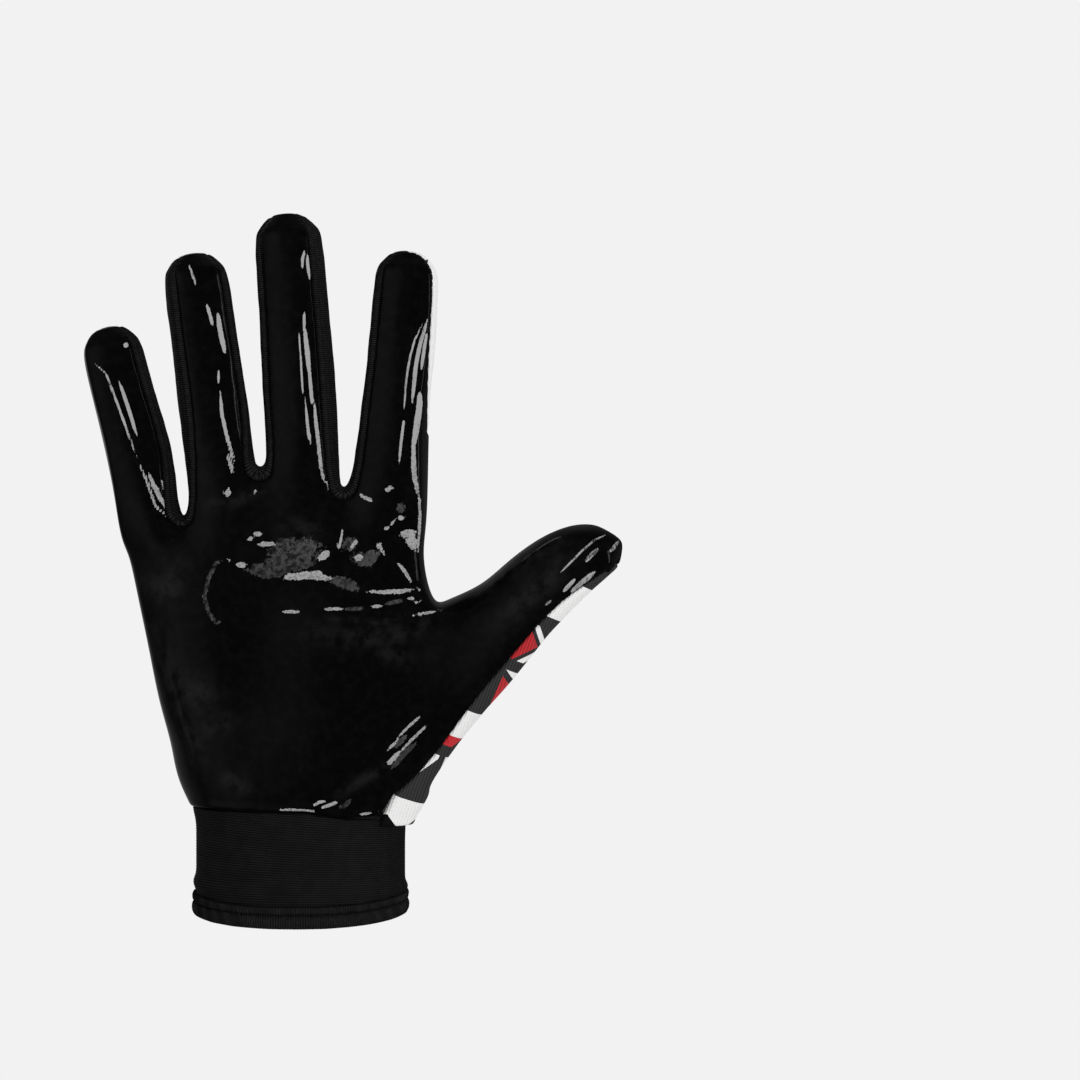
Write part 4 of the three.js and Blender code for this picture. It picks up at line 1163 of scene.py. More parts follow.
# Places that mirror the strip light, as paths with a half width. First the fingers.
DENTS = (
    (((-68, 179.1), (-63.4, 175), (-59.3, 164.2), (-56.6, 156.7), (-53, 146.8)), 0.36),
    (((-53, 146.8), (-50.6, 141), (-47.2, 131.8), (-43.5, 128.5), (-40.2, 127.5)), 0.36),
    (((-59.4, 172.9), (-57.6, 168.3), (-55.5, 161.7), (-53.3, 154.6)), 0.55),
    (((-49.7, 143), (-48.1, 139.3), (-45.6, 134.3), (-41.9, 129.4)), 0.65),
    (((-45.6, 141), (-43.9, 136), (-41, 130)), 0.4),
    (((-57.2, 183.6), (-56.6, 184.8)), 0.75),
    (((-30.9, 197.8), (-29.8, 194.9), (-28.6, 190)), 0.5),
    (((-27.1, 195), (-26.3, 189.1), (-24.6, 181.2)), 0.75),
    (((-26.8, 176.2), (-26.8, 171.6)), 0.34),
    (((-26.3, 169.6), (-25.7, 161.7), (-24, 154.2), (-21.3, 145.3)), 0.52),
    (((-24.2, 149), (-22.9, 145.4), (-22.1, 142.3)), 0.5),
    (((-36.5, 210.6), (-35.2, 206.9), (-34, 203.3)), 0.34),
    (((0.4, 208.9), (0.5, 212.3), (1.2, 215.2)), 0.42),
    (((2.1, 213.8), (2.2, 210.6), (2.9, 205.6)), 0.5),
    (((1, 195.3), (1.1, 188.2)), 0.4),
    (((1.1, 190), (2.1, 181.6), (2.8, 174)), 0.7),
    (((2.6, 177), (3.7, 164.2)), 0.5),
    (((-1, 189.9), (0, 181.6), (0.4, 171.6), (1.7, 163.3)), 0.3),
    (((1.4, 165.4), (2, 160), (2.4, 155.9), (3.3, 151.7)), 0.45),
    (((4.3, 166.2), (4.8, 160), (5.7, 151.7), (6.6, 144.3), (7.6, 139)), 0.55),
    (((4.3, 170.8), (5, 170.2)), 0.5),
    (((41.2, 192.8), (39.8, 188.2), (38.4, 183.2), (37.3, 177.4), (36.75, 171.6), (36.1, 165)), 0.6),
    (((41, 188.5), (40.2, 184.1), (39, 175.8)), 0.5),
    (((39.8, 191.9), (36.9, 185.7), (35.3, 179.9), (33.8, 170), (33.6, 160)), 0.3),
    (((33.6, 161), (32.4, 151.7), (31.9, 145.1)), 0.42),
    (((38.7, 169.6), (38.4, 163.3), (37.3, 155.9), (36.3, 150.1)), 0.95),
    (((36.5, 153), (36.6, 146), (37.1, 140.4), (38.4, 134.6)), 0.7),
    (((38.2, 136.6), (38.7, 129.5), (38.4, 122.3), (38, 116.5)), 0.42),
    (((43.7, 202.3), (43.4, 197.3)), 0.4),
    # The knuckles and the hollow of the palm.
    (((-25.3, 136.9), (-23.1, 137.1)), 0.5),
    (((-25.1, 135.6), (-22.8, 135.8)), 0.55),
    (((-16.4, 135.5), (-14.4, 136.9)), 0.36),
    (((8.3, 140), (9.4, 137.1)), 0.36),
    (((18.4, 135.5), (23.9, 133.5)), 0.3),
    (((27.5, 137.5), (29.4, 137)), 0.45),
    (((28.6, 138.2), (30.8, 136.6)), 0.5),
    (((31, 131.9), (32.6, 131)), 0.4),
    (((27.1, 124.1), (28.6, 125.4)), 0.5),
    (((29.3, 125.9), (30.6, 127.2)), 0.5),
    (((31.3, 127.8), (33.7, 128.4)), 0.65),
    (((32.4, 122.4), (34.7, 123.2), (37.2, 123.4)), 1.1),
    (((34.2, 121.6), (36, 119.6), (37.2, 117.8)), 1.1),
    (((36, 122.4), (37.2, 119)), 0.9),
    (((25, 120), (25.8, 118.2)), 0.75),
    (((25.6, 118.6), (27.3, 115.9)), 0.4),
    (((31.1, 113.9), (33.7, 110.7), (36.2, 106.7)), 0.5),
    (((21.5, 104.1), (26, 104), (30, 104.1), (36.9, 104.6)), 0.62),
    (((37.6, 105.6), (39.1, 104.1)), 0.3),
    (((26.8, 99.6), (22, 99)), 0.32),
    (((14, 98.4), (7.5, 98.6)), 0.34),
    (((34, 101.6), (38, 102.5)), 0.3),
    (((36.2, 100.4), (40.2, 101.2)), 0.3),
    (((36.2, 96.5), (39.1, 96.9), (43.8, 97.7)), 0.4),
    (((-17.6, 120.6), (-15.3, 122.3), (-12.4, 123.4)), 0.55),
    (((-14, 119.2), (-11.7, 119.7), (-8.1, 120.1)), 0.8),
    (((-21, 113), (-17.8, 112.6)), 0.9),
    (((-24.7, 114.9), (-22.7, 114.4)), 0.45),
    (((-5.5, 108.5), (-2.3, 109.1), (2.8, 109.3), (9.4, 108.5)), 1.15),
    (((4, 110.6), (6.6, 110.2)), 0.6),
    (((5.8, 114.6), (7.4, 115.8), (9, 117)), 1.05),
    (((11.6, 118.8), (12.6, 119.4)), 0.75),
    (((13.6, 124.8), (12.7, 119.4)), 0.3),
    (((16.2, 117.9), (17, 119.4), (18.4, 120.8)), 0.6),
    (((17.8, 115.4), (20, 115)), 1.0),
    (((-9.1, 96.9), (-3.7, 97.6), (-0.1, 97.6)), 0.32),
    # The foot of the thumb, the wrist and the thumb.
    (((28.2, 52.6), (31.4, 55.8)), 0.4),
    (((31.4, 56.6), (34.7, 60), (39.1, 63.9)), 0.36),
    (((27.9, 47.7), (30, 49.9), (32.2, 52.2)), 0.7),
    (((32, 51.8), (35.5, 55.5), (41.6, 61.3)), 0.4),
    (((4, 34.4), (5.9, 35.7), (7.8, 36)), 0.45),
    (((6.2, 33.8), (9.2, 34.7), (11.9, 35.8)), 0.5),
    (((-7.4, 33.2), (-1, 32.9), (4.8, 32.7)), 0.5),
    (((18.9, 31.6), (22.9, 32.2)), 0.4),
    (((92.5, 113.8), (94.4, 116.1), (96.8, 118.2)), 0.62),
    (((100.4, 117), (101.8, 118.6), (103.3, 120.6)), 0.55),
    (((87.7, 103.8), (91.5, 107.2), (95.6, 110.6)), 0.8),
    (((85.2, 104.1), (87.2, 106.2), (89.1, 108.2)), 0.6),
    (((84, 110), (88, 114), (91.5, 117.6), (95.5, 121), (100, 123)), 0.3),
    (((79.2, 99.7), (81.4, 101.2)), 0.34),
    (((100.1, 123.9), (100.7, 124.2)), 0.4),
)
# Dull, mottled places between them.
DULL = (
    (
        (
            (-24.4, 114.9), (-27.6, 113.3), (-30, 108.6), (-31.5, 102.6),
            (-30, 97.4), (-27.7, 94), (-24.5, 94.9),
        ),
        0.6,
    ),
    (((-9, 118.6), (-2, 117.4), (5.2, 118.6)), 3.4),
    (((-10.4, 115), (-3, 114), (4, 114.4)), 2.6),
    (((-17, 111.4), (-12, 110.8), (-4, 111.2)), 2.0),
    (((10, 108), (14, 107), (18.2, 105.4)), 1.5),
    (((14.6, 118.8), (17.4, 120.4)), 2.0),
    (((17.4, 115), (21.4, 114.4), (24.6, 116.6)), 1.9),
    (((31.4, 131.8), (33.6, 130.6)), 1.1),
    (((12.4, 33.8), (14.4, 34.6), (16.2, 36.5)), 0.6),
    (((29.4, 46.6), (33.6, 51.6), (37.4, 55)), 0.7),
    (((21, 98.9), (14, 98.3)), 0.5),
    (((26.8, 99.9), (34, 101.6)), 0.5),
    (((30.6, 53.6), (34.2, 57.4)), 0.7),
    (((-24.4, 202.3), (-23, 193.5), (-21.5, 184.9)), 0.4),
)
# Places where the film's colour is painted lighter: a painted sheen that stands in for soft grey
# reflections in the film.
PAINTED_SHEEN_PATHS = (
    (((2, 92), (15, 88.5), (30, 90), (44, 94)), 2.6),
    (((8, 95.5), (25, 94), (36, 97.4)), 0.9),
    (((26, 84), (34, 82)), 2.4),
    (((-50, 108), (-43, 104), (-40, 112)), 3.6),
    (((-38, 73), (-30, 68)), 4.5),
    (((-31, 60), (-23, 62)), 3.0),
    (((12, 38), (22, 44), (30, 48)), 1.4),
    (((-26, 44), (-18, 40)), 2.6),
    (((-46, 92), (-42, 78), (-37, 62), (-33, 50)), 2.6),
    (((-32, 132), (-22, 133), (-10, 139)), 1.4),
    (((-5, 125), (6, 124)), 2.6),
    (((64, 94), (76, 104), (88, 116)), 3.4),
    (((58, 104), (72, 114), (84, 120)), 2.0),
)
STITCH_PITCH = 2.2
# Depth and width of the roll at the panels' edges: at the wrist, and at the seams of each.
WRIST_ROLL = (1.0, 0.9)
PALM_ROLL = (0.85, 1.3)
BACK_ROLL = (0.9, 1.0)
GUSSET_ROLL = (0.9, 0.8)
# Depth of the panels' folded-in edges.
RIM_DEPTH = 1.3
# Levels of the smooth surface for the panels and for the lining.
PANEL_LEVELS = 4
LINING_LEVELS = 2
# How much higher than the level wrist the film's lower edge is in front: x and rise.
WRIST_RISE = (
    (-34, 0.0), (-26, 1.0), (-7, 2.1), (4, 2.9), (11, 2.5), (17, 2.2), (26, 3.4), (32, 1.6), (36, 0.6),
)


def wrist_rise(x):
    return np.interp(x, *zip(*WRIST_RISE))


def path_height(places, path, width, height, fade=0.5):
    """Height of a crease that runs along a path and dies out at its ends."""
    flat = places[:, [0, 2]]
    legs = list(zip(path, path[1:]))
    total = sum(math.dist(a, b) for a, b in legs)
    best = np.full(len(places), 1e9)
    reach = np.zeros(len(places))
    done = 0.0
    for a, b in legs:
        a, b = np.array(a, float), np.array(b, float)
        length = float(np.linalg.norm(b - a))
        ends = (end[None, :].repeat(len(flat), 0) for end in (a, b))
        d, share = segment_distance(flat, *ends)
        closer = d < best
        best[closer] = d[closer]
        reach[closer] = (done + share * length)[closer] / total
        done += length
    taper = np.sin(np.clip(reach, 0.03, 0.97) * math.pi) ** fade
    return height * taper * np.exp(-((best / width) ** 2))


def digit_grain(panel):
    """For each point how far across and along its finger or thumb it is, and how surely on it."""
    across, along = panel.places[:, 0].copy(), panel.places[:, 2].copy()
    on = np.zeros(len(panel.places))
    for number, name in enumerate(DIGITS):
        mine = np.flatnonzero(panel.digits == 1 + number)
        if name == "thumb":
            lean = math.radians(THUMB_ANGLE - 90)
            foot = np.array((0.5 * WRIST_WIDTH, 0, WRIST_Z + THUMB_ROOT["rise"] * PALM_LENGTH))
        else:
            lean = math.radians(FINGERS[number]["splay"])
            middle = (CELL_EDGES[number] + CELL_EDGES[number + 1]) / 2
            rise = (FOOT_RISE[number] + FOOT_RISE[number + 1]) / 2
            foot = np.array((middle, 0, WRIST_Z + PALM_LENGTH * rise))
        side = np.array((math.cos(lean), 0, math.sin(lean)))
        axis = np.array((-math.sin(lean), 0, math.cos(lean)))
        across[mine] = (panel.places[mine] - foot) @ side + 60 * number
        along[mine] = (panel.places[mine] - foot) @ axis
        on[mine] = smooth((along[mine] - (20 if name == "thumb" else 4)) / 16)
    return across, along, on


# Where, as a share of a finger's length, its tip begins, and how much shallower a seam is there.
TIP_FROM = 0.84
TIP_OVER = 0.08
TIP_SHALLOWER = 0.75


def seam_depth(panel, grain):
    """Share of a seam's depth: 1 along the fingers, and less at the fingertips."""
    lengths = np.array([1e6] + [f["length"] * FINGER_LENGTH for f in FINGERS] + [1e6])
    return 1 - TIP_SHALLOWER * smooth((grain[1] / lengths[panel.digits] - TIP_FROM) / TIP_OVER)


# Swell of the whole palm and ripples along the digits: height, size per axis and seed.
SWELL = (0.12, (15, 15, 20), 3.0)
RIPPLES = ((0.09, (3.6, 24, 1), 7.0), (0.06, (6, 9, 1), 17.0))


def palm_folds(panel, grain):
    """Creases, rumples and the long ripples of the fingers in the palm film."""
    places = panel.places
    across, along, on = grain
    front = smooth((-panel.normals[:, 1] - 0.15) / 0.4)
    rise, size, seed = SWELL
    height = rise * field(places, size, seed) * front
    x, z = places[:, 0], places[:, 2]
    flat = seen(places)
    for path, width, rise in CREASES:
        height += path_height(flat, path, width, rise) * front
    for at_x, at_z, wide, tall, size, rise in RUMPLES:
        d = ((x - at_x) / wide) ** 2 + ((z - at_z) / tall) ** 2
        near = np.flatnonzero(d < 6)
        height[near] += rise * np.exp(-d[near]) * field(places[near], (size,) * 3, at_x, 3) * front[near]
    local = np.stack([across, along, np.zeros(len(across))], 1)
    ripple = sum(rise * field(local, size, seed) for rise, size, seed in RIPPLES)
    return height + ripple * on * front


# How the film lies over the palm: x, z, spread across and up, and how far forward, in millimetres.
SETTLING = (
    (18, 70, 22, 34, -2.4),
    (43, 137, 13, 20, 3.4),
    (40, 97, 12, 14, 1.8),
)
# Slope by which the little finger's palm side turns outward, from how far below its foot, over
# which length, and how far across.
LITTLE_TURN = 0.13
LITTLE_BELOW = 12
LITTLE_FADE = 16
LITTLE_REACH = 12
# The bulge on the palm's left side: height, spread and how far out.
LEFT_BULGE = (45, 9, 1.0)


def settle(surface):
    """Moves the surface forward or back over wide places, and turns the little finger outward."""
    x, _, z = surface.places.T
    front = smooth((-surface.normals[:, 1] - 0.1) / 0.5)
    forward = np.zeros(len(x))
    for at_x, at_z, across, up, way in SETTLING:
        forward += way * np.exp(-(((x - at_x) / across) ** 2) - ((z - at_z) / up) ** 2)
    lean = math.radians(FINGERS[0]["splay"])
    middle = (CELL_EDGES[0] + CELL_EDGES[1]) / 2
    foot_z = WRIST_Z + PALM_LENGTH * FOOT_RISE[0]
    across = (x - middle) * math.cos(lean) + (z - foot_z) * math.sin(lean)
    along = (z - foot_z) * math.cos(lean) - (x - middle) * math.sin(lean)
    on = smooth((along + LITTLE_BELOW) / LITTLE_FADE)
    on = on * (across < LITTLE_REACH) * (x < CELL_EDGES[1] + 2)
    forward -= LITTLE_TURN * across * on
    surface.places[:, 1] -= forward * front
    height, spread, out = LEFT_BULGE
    low = np.exp(-(((z - height) / spread) ** 2)) * (x < 0)
    surface.places[:, 0] += out * low * surface.normals[:, 0] * smooth(-surface.normals[:, 0])


# Where the thumb's tip begins to be rounded and over which length, as shares of its length.
ROUND_FROM = 0.8
ROUND_OVER = 0.12
ROUND_PASSES = 60


def round_thumb(surface):
    """Rounds the thumb's tip, whose quads leave it a little square."""
    angle = math.radians(THUMB_ANGLE)
    foot = np.array((0.5 * WRIST_WIDTH, 0, WRIST_Z + THUMB_ROOT["rise"] * PALM_LENGTH))
    along = (surface.places - foot) @ np.array((math.cos(angle), 0, math.sin(angle)))
    on = smooth((along - ROUND_FROM * THUMB_LENGTH) / (ROUND_OVER * THUMB_LENGTH))
    share = 0.5 * on[:, None]
    pairs = np.stack([surface.faces, np.roll(surface.faces, -1, 1)], 2).reshape(-1, 2)
    counts = np.bincount(pairs[:, 0], minlength=len(share))[:, None]
    for _ in range(ROUND_PASSES):
        near = np.zeros_like(surface.places)
        np.add.at(near, pairs[:, 0], surface.places[pairs[:, 1]])
        surface.places += share * (near / np.maximum(counts, 1) - surface.places) * (counts > 0)


def face_normals(places, faces):
    """Unit normals at the points of a mesh of four-sided faces."""
    a, b, c, d = (places[faces[:, i]] for i in range(4))
    flat = np.cross(c - a, d - b)
    total = np.zeros_like(places)
    for i in range(4):
        np.add.at(total, faces[:, i], flat)
    return total / np.maximum(np.linalg.norm(total, axis=1), 1e-9)[:, None]


# Slope in z up to which the film's own spread of the reflection is enough, and the largest slopes.
TIP_FREE = 0.12
LEAST_TURN = -0.8
MOST_TURN = 0.9
MOST_TIP = 0.6


def turn_to_strip(panel):
    """Slopes by which the film has to turn to +X and +Z at each point to mirror the strip light."""
    normals = face_normals(panel.places, panel.faces)
    to_camera = CAMERA_PLACE - panel.places
    to_camera /= np.linalg.norm(to_camera, axis=1)[:, None]
    half = to_camera + np.array(direction(*SOFT_BOXES[0][1:3]))
    want = normals[:, 1:2] * half / half[:, 1:2] - normals
    tip = np.sign(want[:, 2]) * np.maximum(np.abs(want[:, 2]) - TIP_FREE, 0)
    return np.clip(want[:, 0], LEAST_TURN, MOST_TURN), np.clip(tip, -MOST_TIP, MOST_TIP)


def seen(places):
    """Places moved along the photograph's lines of sight to the plane of the glove's middle."""
    return CAMERA_PLACE + (places - CAMERA_PLACE) * (CAMERA_DISTANCE / (places[:, 1:2] + CAMERA_DISTANCE))


def painted(places, paths):
    """Mask that is 1 along the paths and falls away to their sides."""
    mask = np.zeros(len(places))
    flat = seen(places)
    for path, width in paths:
        mask = np.maximum(mask, path_height(flat, path, width * 1.25, 1, 0.3))
    return mask


def seam_notches(panel):
    """Small dips that the stitches pull into an edge."""
    across = np.maximum(0, np.cos(panel.run * 2 * math.pi / STITCH_PITCH)) ** 3
    return -0.3 * across * bump_line(panel.edge, 0.55, 0.55)


def make_palm(surface):
    """The glossy film, with its folds and with the paths that the material reads."""
    panel = Panel(surface, "palm")
    at_wrist = panel.side == -1
    grain = digit_grain(panel)
    height = palm_folds(panel, grain) * smooth(panel.edge / 3)
    seam = seam_depth(panel, grain)
    height += np.where(at_wrist, roll(panel.edge, *WRIST_ROLL), roll(panel.edge, *PALM_ROLL) * seam)
    front = smooth((-panel.normals[:, 1] - 0.2) / 0.5)
    height += np.where(at_wrist, 0.5 * bump_line(panel.edge, 1.2, 1.3) * front, 0)
    height += np.where(at_wrist, 0, seam_notches(panel))
    panel.lift(height)
    low = smooth(1 - (panel.places[:, 2] - WRIST_Z) / 16)
    panel.places[:, 2] += wrist_rise(panel.places[:, 0]) * low * front
    front_side = (panel.normals[:, 1] < -0.1).astype(float)
    turn, tip = turn_to_strip(panel)
    flows = {
        "across": grain[0],
        "along": grain[1],
        "strand": grain[2],
        "dent": painted(panel.places, DENTS) * front_side,
        "matte": painted(panel.places, DULL) * front_side,
        "painted_sheen": np.minimum(painted(panel.places, PAINTED_SHEEN_PATHS), 1) * front_side,
        "turn": turn,
        "tip": tip,
    }
    piece = panel.to_object("palm_film", RIM_DEPTH, flows, film_material())
    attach(piece, "root")
    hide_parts(*(f"palm_{zone}" for zone in ["hand"] + DIGITS))


def make_back(surface):
    """The printed fabric."""
    panel = Panel(surface, "back")
    at_wrist = panel.side == -1
    height = 0.3 * field(panel.places, (16, 16, 22), 51.0) * smooth(panel.edge / 4)
    seam = seam_depth(panel, digit_grain(panel))
    height += np.where(at_wrist, roll(panel.edge, *WRIST_ROLL), roll(panel.edge, *BACK_ROLL) * seam)
    height += np.where(at_wrist, 0.3 * bump_line(panel.edge, 1.2, 1.2), 0)
    height += np.where(at_wrist, 0, seam_notches(panel))
    panel.lift(height)
    piece = panel.to_object("back_fabric", RIM_DEPTH, {}, print_material())
    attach(piece, "root")
    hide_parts(*(f"back_{zone}" for zone in ["hand"] + DIGITS))


def gusset_path(index, fingers, cage_limit):
    """The gusset's middle line from one fingertip round the crotch to the next, closely spaced."""
    left = [(cage_limit[ring[3]] + cage_limit[ring[4]]) / 2 for ring in fingers[index]]
    right = [(cage_limit[ring[9]] + cage_limit[ring[8]]) / 2 for ring in fingers[index + 1]]
    knots = [*reversed(left), *right]
    knots = [2 * knots[0] - knots[1], *knots, 2 * knots[-1] - knots[-2]]
    line = []
    for a, b, c, d in zip(knots, knots[1:], knots[2:], knots[3:]):
        steps = max(2, int(np.linalg.norm(c - b) / 0.25))
        for k in range(steps):
            t = k / steps
            curve = 2 * b + (c - a) * t + (2 * a - 5 * b + 4 * c - d) * t * t
            line.append((curve + (3 * b - a - 3 * c + d) * t**3) / 2)
    return np.array(line)


def make_gusset(surface, index, fingers, cage_limit):
    """The knitted strip between two fingers, with its ribs counted along its middle line."""
    name = GUSSETS[index]
    panel = Panel(surface, name)
    line = gusset_path(index, fingers, cage_limit)
    steps = np.linalg.norm(np.diff(line, axis=0), axis=1)
    lengths = np.concatenate([[0], np.cumsum(steps)])
    nearest = np.clip(nearest_of(panel.places, line), 1, len(line) - 2)
    ahead = line[nearest + 1] - line[nearest - 1]
    ahead /= np.linalg.norm(ahead, axis=1)[:, None]
    along = lengths[nearest] + ((panel.places - line[nearest]) * ahead).sum(1)
    by_palm = panel.side == KINDS.index("palm")
    seam = seam_depth(panel, digit_grain(panel))
    height = roll(panel.edge, *GUSSET_ROLL)
    height += np.where(by_palm, 0.42, 0.2) * bump_line(panel.edge, 1.25, 0.5)
    height -= 0.18 * bump_line(panel.edge, 2.3, 0.5)
    height *= seam
    height += seam_notches(panel) * 0.6
    height += 0.15 * field(panel.places, (5, 5, 7), 71.0)
    panel.lift(height)
    piece = panel.to_object(f"{name}_knit", 1.2, {"along": along}, rib_material(f"{name}_knit", 0.68, 0.2))
    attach(piece, "root")
    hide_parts(name)


LINING_INSET = 3.2


def make_lining(surface):
    """The inner side of the panels, seen through the wrist."""
    flipped = surface.faces[:, ::-1]
    places = (surface.places - surface.normals * LINING_INSET) * MM
    piece = add_piece("lining", places, flipped.tolist(), lining_material(), {})
    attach(piece, "root")


def wrist_point(turn, out):
    """Point of the wrist's outline at a turn in degrees, moved outward."""
    a, b = round_point(turn)
    return a * (WRIST_WIDTH / 2 + out), b * (WRIST_DEPTH / 2 + out)


def tube(name, rings, sides, material, key):
    """Closed tube from rings. Each ring gives, for a share of the way round, a place and the
    number that the material reads under the key."""
    count = len(rings)
    places = []
    values = []
    for ring in rings:
        for i in range(sides):
            place, value = ring(i / sides)
            places.append(Vector(place) * MM)
            values.append(value)
    faces = []
    for r in range(count):
        below, above = r * sides, ((r + 1) % count) * sides
        for i in range(sides):
            n = (i + 1) % sides
            faces.append((below + i, below + n, above + n, above + i))
    return add_piece(name, places, faces, material, {key: values})


CUFF_RIBS = 44
STEPS_PER_RIB = 6
CUFF_SIDES = 200
RIB_HEIGHT = 0.17
# The cuff's foot is hidden in the hem, and its top under the palm and the back.
CUFF_LOW = 3.0
CUFF_UNDER = 4.0
# Bulges above the hem: side of the wrist, height, spread and how far out.
FOOT_BULGES = ((-1, 10.5, 2.2, 0.9), (1, 8.4, 1.6, 0.9))
# How the cuff widens below the palm: over which height, and how far on the left and all round.
FLARE_HEIGHT = 4
FLARE_LEFT = 0.9
FLARE_ROUND = 0.15
# How deep its top is tucked in, how far below the palm's edge that ends, and over which height.
TUCK_DEPTH = 1.5
TUCK_END = 0.6
TUCK_HEIGHT = 0.9
CUFF_SWAY = 0.18
CUFF_INSET = 0.35


def make_cuff():
    """Knitted cuff: level ribs all round, a plain inside."""
    steps = CUFF_RIBS * STEPS_PER_RIB

    def level(share, x):
        return mix(CUFF_LOW, WRIST_Z + CUFF_UNDER, share) - WRIST_FALL * x * share

    def outer(share):
        def ring(turn):
            x, y = wrist_point(360 * turn, 0)
            side, front = x / (WRIST_WIDTH / 2), max(0, -y / (WRIST_DEPTH / 2))
            edge = WRIST_Z - WRIST_FALL * x + float(wrist_rise(x)) * front
            below = edge - level(share, x)
            widest = FLARE_LEFT * max(0, -side) + FLARE_ROUND
            flare = math.exp(-((max(below, 0) / FLARE_HEIGHT) ** 2)) * widest
            tucked = TUCK_DEPTH * smooth((TUCK_END - below) / TUCK_HEIGHT)
            foot = 0
            for way, height, spread, out in FOOT_BULGES:
                near = math.exp(-(((level(share, x) - height) / spread) ** 2))
                foot += out * near * max(0, way * side) ** 2
            rib = RIB_HEIGHT * (math.cos(2 * math.pi * share * CUFF_RIBS) - 1) / 2
            sway = CUFF_SWAY * math.sin(6 * math.pi * turn + 1.3) * math.sin(math.pi * share)
            x, y = wrist_point(360 * turn, rib + sway + flare + foot - tucked - CUFF_INSET)
            return (x, y, level(share, x)), share * CUFF_RIBS

        return ring

    def inner(share):
        def ring(turn):
            x, y = wrist_point(360 * turn, -CUFF_WALL)
            return (x, y, level(share, x)), share * CUFF_RIBS

        return ring

    rings = [outer(k / steps) for k in range(steps + 1)]
    rings += [inner(k / STEPS_PER_RIB) for k in range(STEPS_PER_RIB, -1, -1)]
    piece = tube("cuff_knit", rings, CUFF_SIDES, cuff_material(), "rib")
    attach(piece, "root")
    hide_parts("cuff")


def cuff_material():
    g = Graph("cuff_knit")
    g.set(Roughness=0.75, IOR=1.45, Specular_IOR_Level=0.25)
    where = g.place()[0]
    rib = g.wave(g.add(g.attribute("rib"), 0.25), 1.0)
    patchy_light = g.range(g.noise(where, 0.25, 4.0), 0.3, 0.7, 0.55, 1.0)
    # The rib crests are painted lighter than the knit between them: painted light on the ribs, made patchy
    # by noise.
    color = g.blend(g.mul(rib, patchy_light), BLACK_KNIT, (0.0085, 0.0085, 0.0088))
    normal = g.bump(g.noise(where, 2.5, 3.0), 0.06)
    return g.finish(color, None, normal)


# Section of the hem: how far it stands out and how high, in millimetres, from its top round to
# its inside: a narrow roll, a puckered groove, a wide roll and the turned-in lower edge.
HEM_SECTION = (
    (-0.9, 6.75), (0.05, 6.7), (0.55, 6.4), (0.75, 5.8), (0.7, 5.1), (0.5, 4.6), (0.1, 4.2),
    (0.45, 3.8), (0.8, 3.2), (0.9, 2.3), (0.75, 1.3), (0.3, 0.45), (-0.6, 0.0), (-1.8, 0.1),
    (-2.8, 0.6), (-3.0, 2.0), (-3.0, 4.6), (-3.0, 6.6),
)
HEM_GROOVE = 4.2
HEM_GROOVE_SPREAD = 0.7
# How far its front sags, and the share of that which is lost up to its top.
HEM_DROOP = 2.3
HEM_DROOP_LOSS = 0.35
# How much its top rises at the left and right end.
HEM_END_RISE = 0.8
# Stitches round it, and how high they, the puckers in the groove and the wide bulges are.
HEM_STITCHES = 280
HEM_STITCH_RISE = 0.09
HEM_PUCKER = 0.45
HEM_BULGE = 0.25


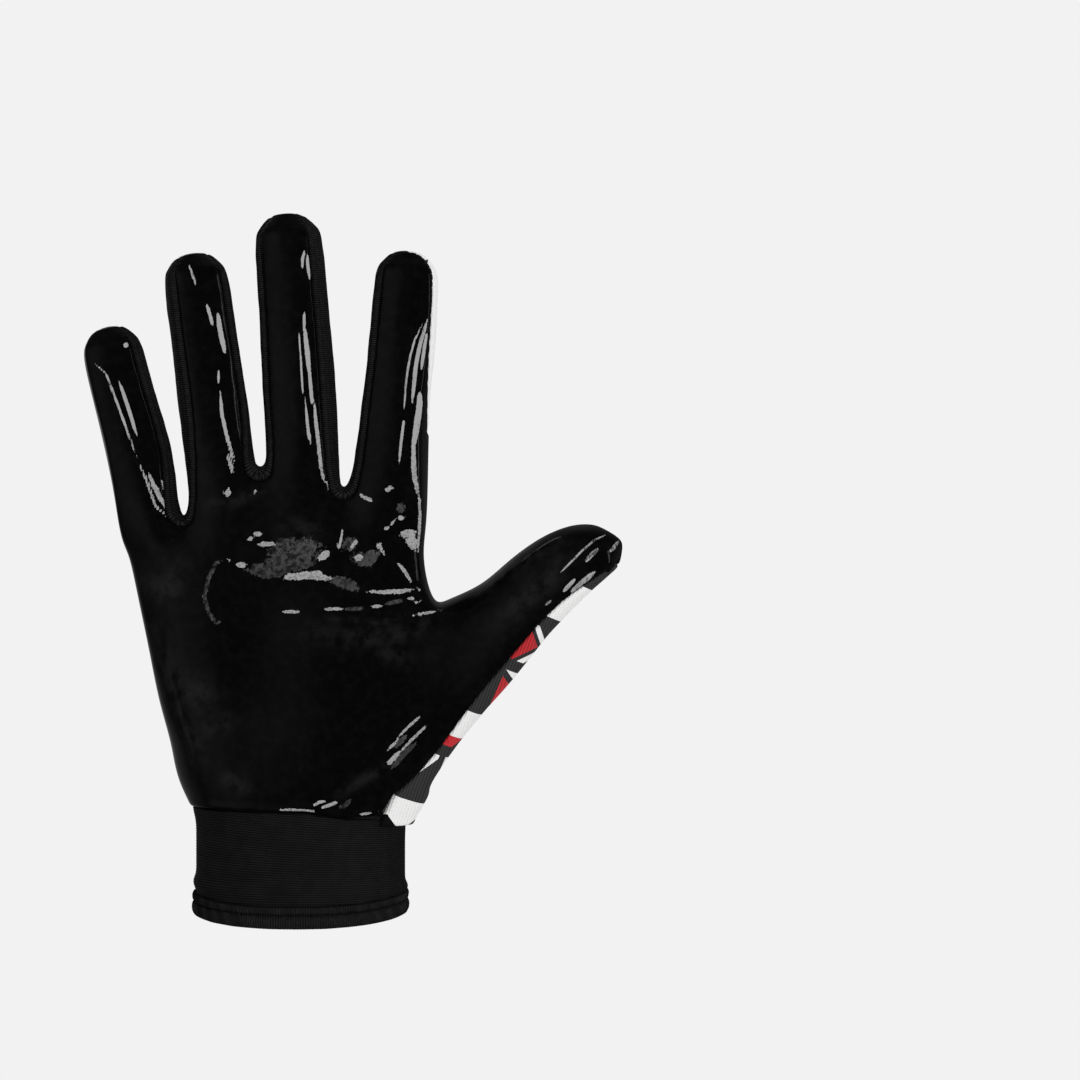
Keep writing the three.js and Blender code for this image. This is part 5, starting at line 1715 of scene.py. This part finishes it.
def make_hem():
    """The cuff's turned and overlocked edge."""
    section = []
    for (a, b), (c, d) in zip(HEM_SECTION, HEM_SECTION[1:]):
        section += [(a, b), ((a + c) / 2, (b + d) / 2)]
    section.append(HEM_SECTION[-1])

    def make_ring(out, up):
        outside = smooth((out + 1.6) / 1.2)
        groove = math.exp(-(((up - HEM_GROOVE) / HEM_GROOVE_SPREAD) ** 2))

        def ring(turn):
            angle = 360 * turn
            stitch = HEM_STITCH_RISE * math.cos(2 * math.pi * turn * HEM_STITCHES + 0.5 * up)
            c, s = math.cos(math.radians(angle)), math.sin(math.radians(angle))
            pucker = noise.noise(Vector((c * 40, s * 40, up * 0.3)))
            bulge = noise.noise(Vector((c * 5, s * 5, 3.0)))
            relief = stitch + HEM_PUCKER * groove * pucker + HEM_BULGE * bulge
            x, y = wrist_point(angle, out + outside * relief)
            front = max(0, -y / (WRIST_DEPTH / 2))
            sag = HEM_DROOP * (1 - HEM_DROOP_LOSS * up / HEM_HEIGHT) * front**2
            ends = HEM_END_RISE * (abs(x) / (WRIST_WIDTH / 2)) ** 4 * up / HEM_HEIGHT
            return (x, y, up - sag + ends), up

        return ring

    rings = [make_ring(out, up) for out, up in reversed(section)]
    piece = tube("hem_knit", rings, HEM_STITCHES * 6, hem_material(), "height")
    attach(piece, "root")
    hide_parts("hem")


def hem_material():
    g = Graph("hem_knit")
    g.set(Roughness=0.75, IOR=1.45, Specular_IOR_Level=0.25)
    where, x, y, _ = g.place()
    # Stitches are painted lighter as painted light, with painted shade in the puckered groove and a painted
    # shadow line along the top edge.
    height = g.attribute("height")
    wobble = g.mul_add(g.noise(where, 0.35, 3.0), 1.2, -0.6)
    from_groove = g.math("ABSOLUTE", g.sub(g.add(height, wobble), HEM_GROOVE))
    unshaded_by_groove = g.range(from_groove, 0.15, 0.6)
    top = g.range(height, 6.2, 6.6, 1.0, 0.0)
    stitch = g.wave_round(x, y, HEM_STITCHES, WRIST_WIDTH / WRIST_DEPTH)
    patchy_light = g.range(g.noise(where, 0.7, 4.0), 0.25, 0.75, 0.35, 1.0)
    light = g.mul(g.mul(stitch, patchy_light), g.mul(unshaded_by_groove, top))
    color = g.blend(light, (0.0018, 0.0018, 0.0019), (0.0125, 0.0125, 0.013))
    return g.finish(color, None, g.bump(g.noise(where, 2.5, 2.0), 0.06))


def main():
    make_camera()
    make_world()
    make_floor()
    make_lights()
    fingers = build_cage()
    cage = fit_cage()
    surface = Surface(cage, PANEL_LEVELS)
    settle(surface)
    round_thumb(surface)
    make_palm(surface)
    make_back(surface)
    cage_limit = np.array(points, float)
    for index in range(len(GUSSETS)):
        make_gusset(surface, index, fingers, cage_limit)
    make_lining(Surface(cage, LINING_LEVELS))
    make_cuff()
    make_hem()
    bpy.context.scene.view_settings.view_transform = "Standard"


main()
bpy.context.view_layer.update()
